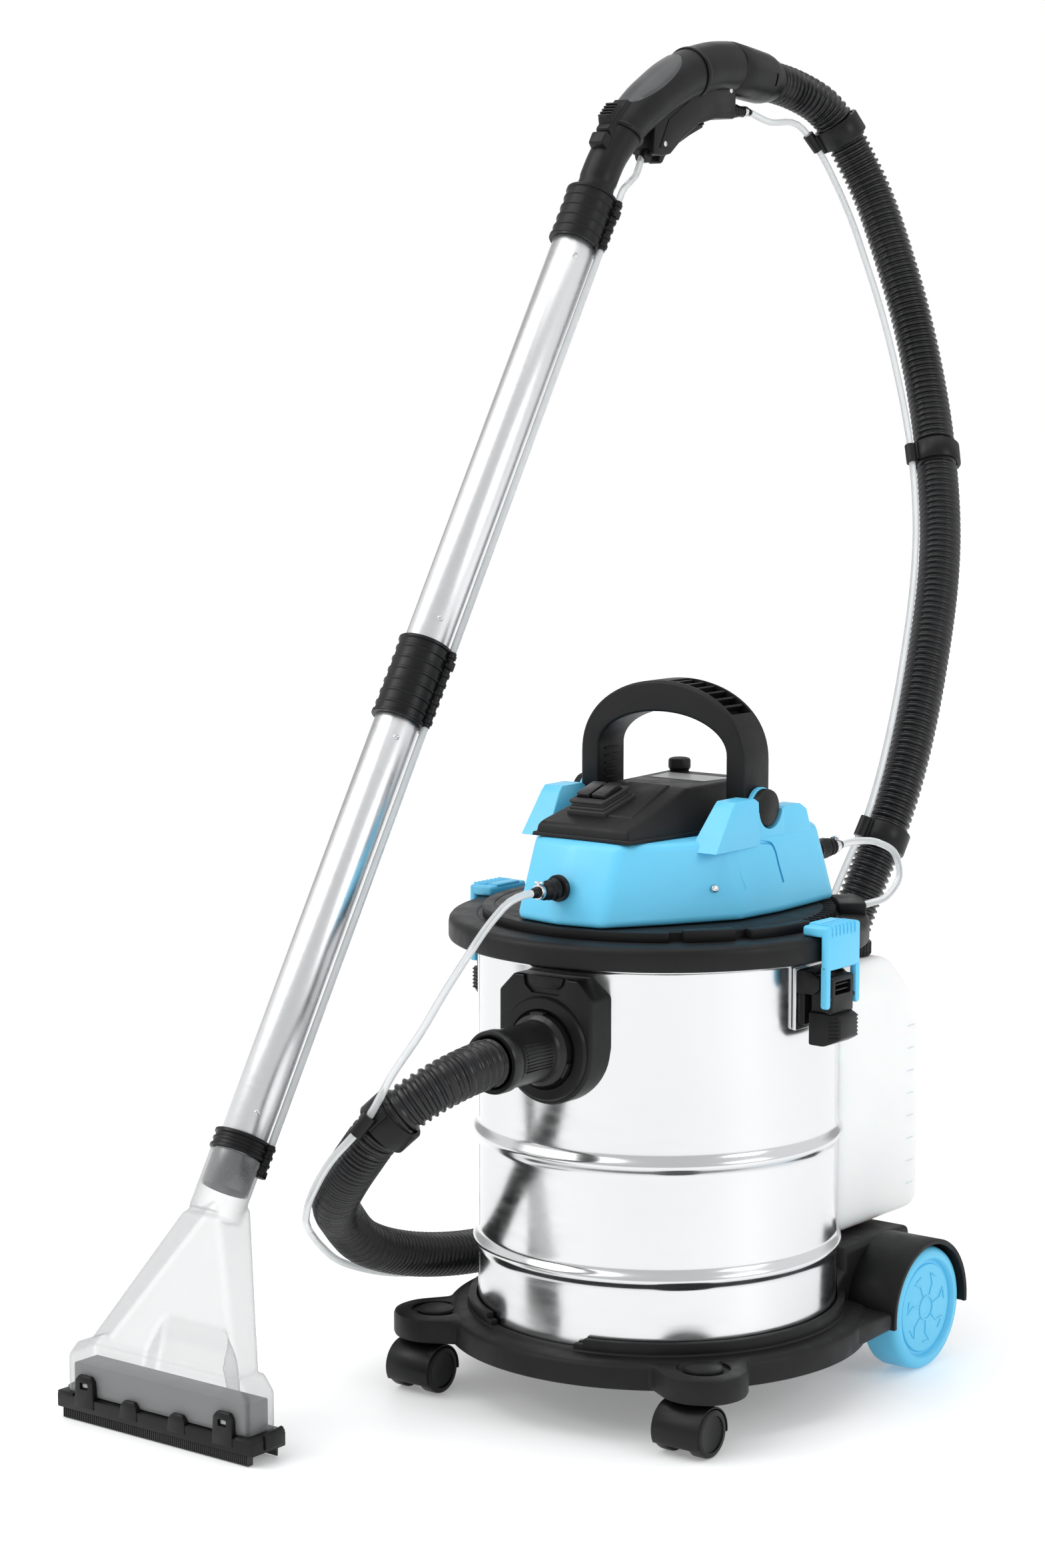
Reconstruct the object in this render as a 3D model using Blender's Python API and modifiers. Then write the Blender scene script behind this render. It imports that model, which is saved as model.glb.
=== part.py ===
"""Wet carpet cleaner: a steel tank on a wheeled dolly, with a motor head, a clean water
tank, a suction hose and a spray wand with a clear nozzle.

Metres, +Z up. The machine faces -Y. Every piece hangs from the empty "machine", which
stands on the tank's axis, or from the empties "wand" and "nozzle".
"""
import math

import bmesh
import bpy
from mathutils import Matrix, Vector

# ---- driving dimensions ------------------------------------------------------------
GAP = 0.0003            # between faces that touch
PLAY = 0.0005           # between faces that slide or turn on each other

TANK_RADIUS = 0.1425
TANK_WALL = 0.0012
TANK_BOTTOM = 0.048
TANK_TOP = 0.3585
BEAD_HEIGHTS = (0.119, 0.207)
BEAD_DEPTH = 0.0041
BEAD_HALF = 0.007

DECK_THICKNESS = 0.0065
LIP_HEIGHT = 0.024      # of the dolly's lip over the tank's bottom
SKIRT_RADIUS = 0.168
SKIRT_TOP = 0.061
SKIRT_BOTTOM = 0.041
POD_X = 0.129
POD_Y = -0.120
POD_RADIUS = 0.034

CASTER_WHEEL_RADIUS = 0.0185
CASTER_WHEEL_WIDTH = 0.012
CASTER_WEB = 0.018
CASTER_TRAIL = 0.018
CASTER_HOOD = 0.0016
CASTER_STEM_RADIUS = 0.004

WHEEL_RADIUS = 0.050
WHEEL_WIDTH = 0.034
WHEEL_INNER_X = 0.126
WHEEL_Y = 0.153
AXLE_RADIUS = 0.005
FENDER_GAP = 0.0035
FENDER_WALL = 0.003

LID_RADIUS = 0.1655
LID_RIM = 0.018
COLLAR_RADIUS = 0.135
COLLAR_HEIGHT = 0.0075
LID_HOLE = 0.078

HEAD_HEIGHT = 0.061
HEAD_WALL = 0.0025
COVER_HEIGHT = 0.035

HANDLE_HALF_WIDTH = 0.0785
HANDLE_LEG = 0.0175
HANDLE_DEPTH = 0.036
HANDLE_RISE = 0.095
PIVOT_Y = 0.020
PIVOT_Z = 0.4655
PIN_RADIUS = 0.006
CAP_RADIUS = 0.0147

CLIP_WIDTH = 0.047
CLIP_LEVER_WIDTH = 0.0324
CLIP_PIVOT_X = 0.160
CLIP_PIVOT_Z = 0.341
CLIP_HOOK_X = 0.1695
CLIP_HOOK_Z = 0.330
CLIP_PIN_RADIUS = 0.002

INLET_X = 0.008
INLET_Z = 0.295
INLET_FACE_Y = -0.158
INLET_BORE = 0.0215
CUFF_BORE = 0.0165
CUFF_LENGTH = 0.0635

WATER_TANK_HALF = 0.098
WATER_TANK_BACK = 0.245
WATER_TANK_BOTTOM = 0.105
WATER_TANK_TOP = 0.323
WATER_TANK_WALL = 0.002
WATER_CAP_X = 0.055
WATER_CAP_Y = 0.190
WATER_NECK_RADIUS = 0.016

MOTOR_RADIUS = 0.0745
MOTOR_BOTTOM = 0.302
INTAKE_RADIUS = 0.022
CAGE_RADIUS = 0.0335
CAGE_HEIGHT = 0.077
BALL_RADIUS = 0.026

BARB_RADIUS = 0.0042
OUTLET_Z = 0.413
FEED_BARB_X = 0.060
FEED_BARB_Z = 0.417

HOSE_RADIUS = 0.0185
LINE_RADIUS = 0.003
LINE_OFFSET = 0.0262    # of the spray tube from the hose's centreline

WAND_X = -0.205
WAND_FOOT_Y = -0.267
WAND_FOOT_Z = 0.205
WAND_LEAN = math.radians(31.4)
WAND_RADIUS = 0.01875
WAND_WALL = 0.0012
WAND_TUBE = 0.436       # length of the lower tube; the upper one is as long, less the join
COUPLING_LENGTH = 0.069
SOCKET_LENGTH = 0.049
SLEEVE_WALL = 0.0028
LINE_SIDE = math.radians(25.0)
WAND_LINE_OFFSET = 0.0232

GRIP_RADIUS = 0.0163
GRIP_WALL = 0.0028
GRIP_END_LEAN = math.radians(-6.0)
CUFF_RADIUS = 0.0237
HANDLE_CUFF_LENGTH = 0.068

NOZZLE_Y = -0.346
NOZZLE_LENGTH = 0.195
NOZZLE_DEPTH = 0.030
NOZZLE_WALL = 0.0022
FOOT_TOP = 0.0195
STRIP_HEIGHT = 0.0077

LEFT_EDGE = WAND_X - NOZZLE_LENGTH / 2 - 0.004
RIGHT_EDGE = 0.178
FRONT_EDGE = NOZZLE_Y - 0.0205
BACK_EDGE = 0.455
TANK_X = -(LEFT_EDGE + RIGHT_EDGE) / 2
TANK_Y = -(FRONT_EDGE + BACK_EDGE) / 2

ROUND = 32              # sides of a large round piece
SMALL = 16              # sides of a small one

LID_BOTTOM = TANK_TOP + PLAY
DECK_Z = LID_BOTTOM + LID_RIM
SHELL_BOTTOM = DECK_Z + COLLAR_HEIGHT + PLAY
SHELL_TOP = SHELL_BOTTOM + HEAD_HEIGHT
HOSE_END = Vector((INLET_X, INLET_FACE_Y - 0.0025 - CUFF_LENGTH - GAP, INLET_Z))

# The hose's route, from the inlet round the left side and the back up to the handle.
HOSE_ROUTE = [
    (0.008, -0.2243, 0.2950), (0.008, -0.2313, 0.2950), (0.006, -0.2510, 0.2920),
    (-0.001, -0.2715, 0.2850), (-0.0185, -0.2930, 0.2680), (-0.0335, -0.3005, 0.2525),
    (-0.054, -0.3020, 0.2275), (-0.086, -0.2860, 0.1975), (-0.125, -0.2450, 0.1715),
    (-0.160, -0.1990, 0.1465), (-0.184, -0.1450, 0.1115), (-0.1935, -0.0820, 0.0870),
    (-0.1945, -0.0190, 0.0730), (-0.194, 0.0600, 0.0660), (-0.193, 0.1200, 0.0680),
    (-0.189, 0.1850, 0.0800), (-0.160, 0.2430, 0.1070), (-0.118, 0.2750, 0.1480),
    (-0.068, 0.2820, 0.1960), (-0.030, 0.2840, 0.2500), (-0.006, 0.3000, 0.3400),
    (0.005, 0.3465, 0.4312), (-0.005, 0.4100, 0.5420), (-0.033, 0.4770, 0.6550),
    (-0.056, 0.5070, 0.7170), (-0.080, 0.5300, 0.7760), (-0.125, 0.5470, 0.8940),
    (-0.165, 0.5450, 0.9850), (-0.188, 0.5140, 1.0400), (-0.202, 0.4810, 1.0555),
    (-0.205, 0.4621, 1.0587), (-0.205, 0.4551, 1.0594)]
HOSE_POINTS = 80
# Which side of the hose the spray tube keeps to, at a share of the hose's length.
LINE_SIDES = [
    (0.00, (0.0, -1.0, 0.3)), (0.055, (-0.13, -0.93, 0.15)), (0.10, (-0.6, -0.6, -0.5)),
    (0.16, (-0.7, -0.4, -0.6)), (0.25, (-0.7, -0.2, -0.7)), (0.35, (-1.0, 0.0, 0.0)),
    (0.45, (-0.8, -0.2, 0.3)), (0.589, (-0.24, -0.96, 0.15)), (0.778, (-0.41, -0.89, 0.1)),
    (0.955, (-0.42, -0.30, -0.86)), (1.00, (-0.3, -0.3, -1.0))]
LINE_JOINS = 0.048      # share of the hose's length at which the spray tube reaches it
LINE_LEAVES = 0.972
LINE_START = [
    (0.0, -0.1642, 0.4130), (0.0, -0.1720, 0.4130), (-0.001, -0.1880, 0.4100),
    (-0.004, -0.2070, 0.3970), (-0.008, -0.2290, 0.3750), (-0.012, -0.2520, 0.3500),
    (-0.016, -0.2760, 0.3220), (-0.023, -0.3010, 0.2930)]
LINE_END = [(-0.205, 0.4520, 1.0235), (-0.205, 0.4225, 1.0300)]
FEED_ROUTE = [
    (0.060, 0.1713, 0.417), (0.060, 0.196, 0.417), (0.061, 0.228, 0.412), (0.062, 0.254, 0.398),
    (0.062, 0.260, 0.381), (0.061, 0.244, 0.366), (0.058, 0.218, 0.362), (0.0555, 0.196, 0.360),
    (0.055, 0.190, 0.3510)]
CLIP_SHARES = (0.059, 0.325, 0.589, 0.778, 0.944)

# The grip's centreline in the wand's plane, from the wand's socket to the cuff.
GRIP_ROUTE = [(0.1615, 0.9079), (0.1835, 0.9430), (0.2044, 0.9765), (0.232, 1.0060),
              (0.2720, 1.0335), (0.3213, 1.0560), (0.3600, 1.0652), (0.3835, 1.0670)]
GRIP_SWELL = (0.98, 1.0, 1.0, 1.12, 1.25, 1.32, 1.38, 1.42)


# ---- scene ---------------------------------------------------------------------------
for old in list(bpy.data.objects):
    bpy.data.objects.remove(old, do_unlink=True)
PARTS = bpy.data.collections.new("carpet_cleaner")
TOOLS = bpy.data.collections.new("cutters")
for group in (PARTS, TOOLS):
    bpy.context.scene.collection.children.link(group)


def anchor(name, location, parent=None, turn=(0.0, 0.0, 0.0)):
    empty = bpy.data.objects.new(name, None)
    empty.location = location
    empty.rotation_euler = turn
    empty.parent = parent
    PARTS.objects.link(empty)
    return empty


MACHINE = anchor("machine", (TANK_X, TANK_Y, 0.0))
WAND = anchor("wand", (WAND_X, WAND_FOOT_Y, WAND_FOOT_Z), MACHINE, (-WAND_LEAN, 0.0, 0.0))
NOZZLE = anchor("nozzle", (WAND_X, NOZZLE_Y, 0.0), MACHINE)


def material(name, colour, roughness, metallic=0.0, alpha=1.0):
    made = bpy.data.materials.new(name)
    made.use_nodes = True
    shader = made.node_tree.nodes["Principled BSDF"]
    shader.inputs["Base Color"].default_value = (*colour, 1.0)
    shader.inputs["Roughness"].default_value = roughness
    shader.inputs["Metallic"].default_value = metallic
    shader.inputs["Alpha"].default_value = alpha
    made.diffuse_color = (*colour, alpha)
    return made


BLACK = material("black_plastic", (0.015, 0.015, 0.017), 0.55)
BLUE = material("blue_plastic", (0.17, 0.62, 0.90), 0.35)
STEEL = material("stainless_steel", (0.80, 0.80, 0.82), 0.12, 1.0)
ALUMINIUM = material("aluminium", (0.72, 0.73, 0.75), 0.35, 1.0)
RUBBER = material("rubber", (0.02, 0.02, 0.02), 0.8)
CLEAR = material("clear_plastic", (0.90, 0.92, 0.93), 0.15, 0.0, 0.5)
WHITE = material("white_plastic", (0.88, 0.90, 0.91), 0.35, 0.0, 0.8)
GREY = material("grey_plastic", (0.18, 0.18, 0.19), 0.5)
FOAM = material("filter_foam", (0.10, 0.10, 0.11), 0.95)

AXES = {"X": (0.0, math.pi / 2, 0.0), "Y": (math.pi / 2, 0.0, 0.0), "Z": (0.0, 0.0, 0.0)}


# ---- shapes: with a material a piece of the object, without one a tool -----------------
def put(name, data, paint, parent, at, turn=(0.0, 0.0, 0.0)):
    obj = bpy.data.objects.new(name, data)
    obj.location = at
    obj.rotation_euler = turn
    obj.parent = parent
    if paint:
        data.materials.append(paint)
        PARTS.objects.link(obj)
    else:
        obj.hide_render = True
        obj.display_type = "WIRE"
        TOOLS.objects.link(obj)
    return obj


def finish(name, bm, paint, parent, at, turn=(0.0, 0.0, 0.0), smooth=False):
    mesh = bpy.data.meshes.new(name)
    bm.to_mesh(mesh)
    bm.free()
    if smooth:
        mesh.shade_smooth()
        mesh.set_sharp_from_angle(angle=math.radians(40))
    return put(name, mesh, paint, parent, at, turn)


def block(name, size, at, paint=None, parent=MACHINE, turn=(0.0, 0.0, 0.0), round_edge=0.0):
    """A box with its size in the mesh, its edges rounded when a radius is given."""
    bm = bmesh.new()
    bmesh.ops.create_cube(bm, size=1.0, matrix=Matrix.Diagonal((*size, 1.0)))
    obj = finish(name, bm, paint, parent, at, turn)
    if round_edge:
        bevel = obj.modifiers.new("edges", "BEVEL")
        bevel.width = round_edge
        bevel.segments = 2
        bevel.limit_method = "ANGLE"
    return obj


def span(name, low, high, paint=None, parent=MACHINE, round_edge=0.0):
    """A box from its lowest to its highest corner."""
    size = [b - a for a, b in zip(low, high)]
    centre = [(a + b) / 2 for a, b in zip(low, high)]
    return block(name, size, centre, paint, parent, round_edge=round_edge)


def rod(name, radius, length, at, axis="Z", paint=None, parent=MACHINE, sides=SMALL, end=None):
    """A cylinder about its centre, or a cone when its far end has another radius."""
    bm = bmesh.new()
    bmesh.ops.create_cone(bm, cap_ends=True, segments=sides, radius1=radius,
                          radius2=radius if end is None else end, depth=length)
    return finish(name, bm, paint, parent, at, AXES[axis], smooth=True)


def ball(name, radius, at, paint=None, parent=MACHINE, sides=SMALL):
    bm = bmesh.new()
    bmesh.ops.create_uvsphere(bm, u_segments=sides, v_segments=sides // 2, radius=radius)
    return finish(name, bm, paint, parent, at, smooth=True)


def turned(name, profile, at=(0.0, 0.0, 0.0), axis="Z", paint=None, parent=MACHINE,
           steps=ROUND, ring=True):
    """A profile of (radius, height) turned about an axis; a ring's profile is closed."""
    bm = bmesh.new()
    points = [bm.verts.new((radius, 0.0, height)) for radius, height in profile]
    for first, second in zip(points, points[1:]):
        bm.edges.new((first, second))
    if ring:
        bm.edges.new((points[-1], points[0]))
    obj = finish(name, bm, paint, parent, at, AXES[axis])
    screw = obj.modifiers.new("turn", "SCREW")
    screw.steps = screw.render_steps = steps
    screw.use_merge_vertices = True
    screw.merge_threshold = 0.00001
    screw.use_smooth_shade = True
    return obj


def tube_ring(name, inner, outer, length, at, axis="Z", paint=None, parent=MACHINE, steps=ROUND):
    half = length / 2
    profile = [(inner, half), (outer, half), (outer, -half), (inner, -half)]
    return turned(name, profile, at, axis, paint, parent, steps)


def hull(name, points, paint=None, parent=MACHINE, at=(0.0, 0.0, 0.0), mirror=True):
    """The convex body round some points, which are mirrored in X unless told not to."""
    bm = bmesh.new()
    for x, y, z in points:
        bm.verts.new((x, y, z))
        if mirror and x:
            bm.verts.new((-x, y, z))
    made = bmesh.ops.convex_hull(bm, input=bm.verts)
    loose = [item for item in made["geom_interior"] if isinstance(item, bmesh.types.BMVert)]
    bmesh.ops.delete(bm, geom=loose, context="VERTS")
    bmesh.ops.recalc_face_normals(bm, faces=bm.faces)
    return finish(name, bm, paint, parent, at)


def to_mesh(obj):
    """Turn a curve into a mesh with welded caps, so that it can be cut or be a cutter."""
    bpy.context.view_layer.update()
    seen = obj.evaluated_get(bpy.context.evaluated_depsgraph_get())
    mesh = bpy.data.meshes.new_from_object(seen)
    bm = bmesh.new()
    bm.from_mesh(mesh)
    bmesh.ops.remove_doubles(bm, verts=bm.verts, dist=0.00001)
    bmesh.ops.recalc_face_normals(bm, faces=bm.faces)
    bm.to_mesh(mesh)
    bm.free()
    name = obj.name
    new = bpy.data.objects.new(name + "_solid", mesh)
    new.parent = obj.parent
    new.matrix_world = obj.matrix_world
    for group in obj.users_collection:
        group.objects.link(new)
    new.hide_render = obj.hide_render
    new.display_type = obj.display_type
    bpy.data.objects.remove(obj, do_unlink=True)
    new.name = name
    return new


def outline(name, points, thickness, at, turn, paint=None, parent=MACHINE):
    """A flat outline extruded to a thickness about its own plane, as a mesh."""
    curve = bpy.data.curves.new(name, "CURVE")
    curve.dimensions = "2D"
    curve.fill_mode = "BOTH"
    curve.extrude = thickness / 2
    spline = curve.splines.new("POLY")
    spline.points.add(len(points) - 1)
    for slot, (x, y) in zip(spline.points, points):
        slot.co = (x, y, 0.0, 1.0)
    spline.use_cyclic_u = True
    return to_mesh(put(name, curve, paint, parent, at, turn))


def pipe(name, points, radius, paint=None, parent=MACHINE, swell=None, detail=2):
    """A round tube along points, solid, with flat ends."""
    curve = bpy.data.curves.new(name, "CURVE")
    curve.dimensions = "3D"
    curve.bevel_depth = radius
    curve.bevel_resolution = detail
    curve.use_fill_caps = True
    spline = curve.splines.new("POLY")
    spline.points.add(len(points) - 1)
    for index, (slot, point) in enumerate(zip(spline.points, points)):
        slot.co = (*point, 1.0)
        slot.radius = swell[index] if swell else 1.0
    return put(name, curve, paint, parent, (0.0, 0.0, 0.0))


def change(obj, tool, operation):
    step = obj.modifiers.new(tool.name, "BOOLEAN")
    step.operation = operation
    step.solver = "EXACT"
    step.object = tool


def cut(obj, *tools):
    for tool in tools:
        change(obj, tool, "DIFFERENCE")


def join(obj, *tools):
    for tool in tools:
        change(obj, tool, "UNION")


def smooth_curve(route, count):
    """Evenly spaced points on one smooth curve through the route."""
    points = [Vector(point) for point in route]
    gaps = [(b - a).length for a, b in zip(points, points[1:])]
    slopes = [(b - a) / gap for a, b, gap in zip(points, points[1:], gaps)]
    tangents = [slopes[0]]
    for before, after, gap, following in zip(slopes, slopes[1:], gaps, gaps[1:]):
        tangents.append((before * following + after * gap) / (gap + following))
    tangents.append(slopes[-1])
    dense = []
    for i, gap in enumerate(gaps):
        for step in range(16):
            t = step / 16
            dense.append((2 * t**3 - 3 * t**2 + 1) * points[i]
                         + (t**3 - 2 * t**2 + t) * gap * tangents[i]
                         + (3 * t**2 - 2 * t**3) * points[i + 1]
                         + (t**3 - t**2) * gap * tangents[i + 1])
    dense.append(points[-1])
    return [along(dense, index / (count - 1))[0] for index in range(count)]


def along(points, share):
    """The point and the direction at a share of a line's length."""
    gaps = [(b - a).length for a, b in zip(points, points[1:])]
    left = share * sum(gaps)
    for a, b, gap in zip(points, points[1:], gaps):
        if left <= gap or b is points[-1]:
            return a + (b - a) * (left / gap), (b - a).normalized()
        left -= gap


def side_of(points, share):
    """The direction square to a line that the spray tube keeps to at a share of it."""
    for (low, first), (high, second) in zip(LINE_SIDES, LINE_SIDES[1:]):
        if share <= high:
            part = (share - low) / (high - low)
            wanted = Vector(first).normalized().lerp(Vector(second).normalized(), part)
            break
    direction = along(points, share)[1]
    return (wanted - wanted.dot(direction) * direction).normalized()


# ---- dolly ---------------------------------------------------------------------------
def dolly():
    deck_top = TANK_BOTTOM - GAP
    lip_top = deck_top + LIP_HEIGHT
    lip_inner = TANK_RADIUS + 0.0012
    base = turned("base_dolly", [
        (0.0, deck_top), (lip_inner, deck_top), (lip_inner, lip_top), (lip_inner + 0.006, lip_top),
        (lip_inner + 0.014, SKIRT_TOP + 0.002), (SKIRT_RADIUS - 0.003, SKIRT_TOP),
        (SKIRT_RADIUS, SKIRT_BOTTOM), (SKIRT_RADIUS - 0.012, SKIRT_BOTTOM),
        (SKIRT_RADIUS - 0.012, deck_top - DECK_THICKNESS), (0.0, deck_top - DECK_THICKNESS)],
        paint=BLACK, steps=48, ring=False)
    pod_middle = (SKIRT_TOP + SKIRT_BOTTOM) / 2
    pod_height = SKIRT_TOP - SKIRT_BOTTOM
    for side, x in (("left", -POD_X), ("right", POD_X)):
        pod = rod("pod_" + side, POD_RADIUS, pod_height, (x, POD_Y, pod_middle), sides=24)
        angle = math.atan2(POD_Y, x)
        reach = math.hypot(x, POD_Y)
        arm_at = (0.80 * x, 0.80 * POD_Y, pod_middle + 0.0002)
        arm = block("arm_" + side, (0.34 * reach, 2.3 * POD_RADIUS, pod_height - 0.0008), arm_at,
                    turn=(0.0, 0.0, angle))
        join(base, pod, arm)
    well = rod("tank_well", lip_inner, 0.3, (0.0, 0.0, deck_top + 0.15), sides=48)
    back_low, back_high = WHEEL_Y - 0.060, WHEEL_Y + 0.040
    inner = WHEEL_INNER_X - 0.008
    shelf = span("back_block", (-inner, back_low, SKIRT_BOTTOM),
                 (inner, back_high, WATER_TANK_BOTTOM - GAP))
    join(base, shelf)
    outer = WHEEL_INNER_X + WHEEL_WIDTH + 0.003
    for side, sign in (("left", -1), ("right", 1)):
        cut(base, rod("wheel_room_" + side, WHEEL_RADIUS + FENDER_GAP - 0.0004, 0.1,
                      (sign * (inner + 0.0535), WHEEL_Y, WHEEL_RADIUS), "X", sides=ROUND))
    fender_inner = WHEEL_RADIUS + FENDER_GAP
    fender_outer = fender_inner + FENDER_WALL
    wing_low = SKIRT_BOTTOM + 0.004
    for side, sign in (("left", -1), ("right", 1)):
        fender = tube_ring("fender_" + side, fender_inner, fender_outer, outer - inner + 0.001,
                           (sign * (outer + inner) / 2, WHEEL_Y, WHEEL_RADIUS), "X")
        floor = block("under_fender_" + side, (0.2, 0.2, 0.2),
                      (sign * 0.14, WHEEL_Y, wing_low - 0.1))
        cut(fender, floor)
        wall = rod("fender_wall_" + side, fender_outer - 0.0003, 0.005,
                   (sign * (inner + 0.0005), WHEEL_Y, WHEEL_RADIUS), "X", sides=ROUND)
        cut(wall, floor)
        wing_back = WHEEL_Y - fender_inner + 0.0010
        wing = span("wing_" + side, (sign * 0.138 - 0.0235, 0.018, SKIRT_BOTTOM + 0.0006),
                    (sign * 0.138 + 0.0235, wing_back - 0.003, SKIRT_TOP - 0.0004))
        bridge = span("bridge_" + side, (sign * 0.140 - 0.0215, wing_back - 0.012, wing_low + 0.002),
                      (sign * 0.140 + 0.0215, wing_back, SKIRT_TOP - 0.0012))
        join(base, wing, fender, bridge, wall)
    axle_hole = rod("axle_hole", AXLE_RADIUS + PLAY, 0.32, (0.0, WHEEL_Y, WHEEL_RADIUS), "X")
    cut(base, well, axle_hole)
    for side, x in (("left", -POD_X), ("right", POD_X)):
        stem_top = SKIRT_TOP - 0.005
        hole = rod("stem_hole_" + side, CASTER_STEM_RADIUS + PLAY, 0.04,
                   (x, POD_Y, stem_top - 0.02))
        cut(base, hole)


def rear_wheels():
    reach = WHEEL_INNER_X + WHEEL_WIDTH - 0.010
    rod("rear_axle", AXLE_RADIUS, 2 * reach, (0.0, WHEEL_Y, WHEEL_RADIUS), "X", STEEL)
    bore = AXLE_RADIUS + GAP
    outer = WHEEL_WIDTH / 2
    for side, sign in (("left", -1), ("right", 1)):
        middle = sign * (WHEEL_INNER_X + outer)
        profile = [(0.0, outer), (0.036, outer), (0.038, outer - 0.0012), (0.040, outer),
                   (0.045, outer), (WHEEL_RADIUS, outer - 0.005), (WHEEL_RADIUS, 0.005 - outer),
                   (0.045, -outer), (bore, -outer), (bore, outer - 0.0095), (0.0, outer - 0.0095)]
        wheel = turned("rear_wheel_" + side, profile, (middle, WHEEL_Y, WHEEL_RADIUS), "X",
                       BLUE, steps=28, ring=False)
        if sign < 0:
            wheel.rotation_euler = (0.0, -math.pi / 2, 0.0)


def casters():
    axle_z = CASTER_WHEEL_RADIUS
    hood_inner = CASTER_WHEEL_RADIUS + 2 * PLAY
    hood_outer = hood_inner + CASTER_HOOD
    wheel_x = CASTER_WEB / 2 + PLAY + CASTER_WHEEL_WIDTH / 2
    width = CASTER_WEB + 2 * PLAY + 2 * CASTER_WHEEL_WIDTH
    axle_radius = 0.0028
    for side, x in (("left", -POD_X), ("right", POD_X)):
        y = POD_Y - CASTER_TRAIL
        at = (x, y, axle_z)
        housing = rod("caster_housing_" + side, hood_outer - 0.0002, CASTER_WEB, at, "X", BLACK,
                      sides=24)
        hood = tube_ring("hood_" + side, hood_inner, hood_outer, width, at, "X", steps=24)
        boss_top = SKIRT_BOTTOM - 2 * PLAY
        boss = rod("boss_" + side, 0.0085, boss_top - 0.022, (x, POD_Y, (boss_top + 0.022) / 2))
        neck = span("neck_" + side, (x - 0.006, y, 0.024), (x + 0.006, POD_Y, boss_top - 0.003))
        stem_top = SKIRT_TOP - 0.0055
        stem = rod("stem_" + side, CASTER_STEM_RADIUS, stem_top - 0.030,
                   (x, POD_Y, (stem_top + 0.030) / 2))
        below = span("hood_cut_" + side, (x - 0.03, y - 0.03, -0.02), (x + 0.03, y + 0.03, 0.010))
        front = span("front_cut_" + side, (x - 0.03, y - 0.03, -0.02),
                     (x + 0.03, y - 0.0045, 0.019))
        hole = rod("caster_hole_" + side, axle_radius + GAP, 0.06, at, "X", sides=12)
        join(housing, hood, boss, neck, stem)
        cut(housing, below, front, hole)
        wheels = rod("caster_wheels_" + side, axle_radius, width - 0.002, at, "X", BLACK, sides=12)
        for number, offset in enumerate((-wheel_x, wheel_x)):
            wheel = rod("wheel_%s_%d" % (side, number), CASTER_WHEEL_RADIUS, CASTER_WHEEL_WIDTH,
                        (x + offset, y, axle_z), "X", sides=24)
            join(wheels, wheel)


# ---- tank and inlet --------------------------------------------------------------------
def tank():
    outside = [(TANK_RADIUS + 0.002, TANK_TOP), (TANK_RADIUS + 0.002, TANK_TOP - 0.004),
               (TANK_RADIUS, TANK_TOP - 0.005)]
    for height in sorted(BEAD_HEIGHTS, reverse=True):
        outside += [(TANK_RADIUS, height + BEAD_HALF),
                    (TANK_RADIUS + BEAD_DEPTH, height + 0.25 * BEAD_HALF),
                    (TANK_RADIUS + BEAD_DEPTH, height - 0.25 * BEAD_HALF),
                    (TANK_RADIUS, height - BEAD_HALF)]
    outside += [(TANK_RADIUS, TANK_BOTTOM + 0.003), (TANK_RADIUS - 0.003, TANK_BOTTOM)]
    inside = [(radius - TANK_WALL, height) for radius, height in reversed(outside[3:-1])]
    profile = outside + [(0.0, TANK_BOTTOM), (0.0, TANK_BOTTOM + TANK_WALL)]
    profile += [(TANK_RADIUS - 0.003 - TANK_WALL, TANK_BOTTOM + TANK_WALL)] + inside
    profile += [(TANK_RADIUS - TANK_WALL, TANK_TOP)]
    start = profile.index((0.0, TANK_BOTTOM + TANK_WALL))
    body = turned("tank_body", profile[start:] + profile[:start], paint=STEEL, steps=40, ring=False)
    mouth = rod("tank_mouth", INLET_BORE + 0.0040, 0.06, (INLET_X, -TANK_RADIUS, INLET_Z), "Y",
                sides=24)
    cut(body, mouth)


def inlet():
    half = 0.0437
    top = 0.055
    plate = outline("inlet_housing", [
        (-half + 0.014, top), (-half, top - 0.014), (-half, 0.0), (-0.034, -0.024),
        (-0.015, -0.036), (0.015, -0.036), (0.034, -0.024), (half, 0.0), (half, top - 0.014),
        (half - 0.014, top)], 0.030, (INLET_X, INLET_FACE_Y + 0.015, INLET_Z),
        (math.pi / 2, 0.0, 0.0), BLACK)
    tank_side = rod("tank_side", TANK_RADIUS + GAP, 0.4, (0.0, 0.0, 0.25), sides=48)
    spigot = rod("inlet_spigot", INLET_BORE + 0.0032, 0.030,
                 (INLET_X, INLET_FACE_Y + 0.0195, INLET_Z), "Y", sides=24)
    hollow = rod("inlet_hollow", INLET_BORE, 0.10, (INLET_X, INLET_FACE_Y, INLET_Z), "Y",
                 sides=24)
    cut(plate, tank_side)
    join(plate, spigot)
    cut(plate, hollow)
    flange = INLET_FACE_Y - PLAY
    turned("inlet_cuff", [
        (CUFF_BORE, 0.012), (INLET_BORE - PLAY, 0.012), (INLET_BORE - PLAY, -PLAY),
        (0.0262, -PLAY), (0.0262, -0.010), (0.0228, -0.012), (0.0222, -CUFF_LENGTH - 0.002),
        (CUFF_BORE, -CUFF_LENGTH - 0.002)],
        (INLET_X, flange, INLET_Z), "Y", BLACK, steps=24).rotation_euler = (-math.pi / 2, 0.0, 0.0)


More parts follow.
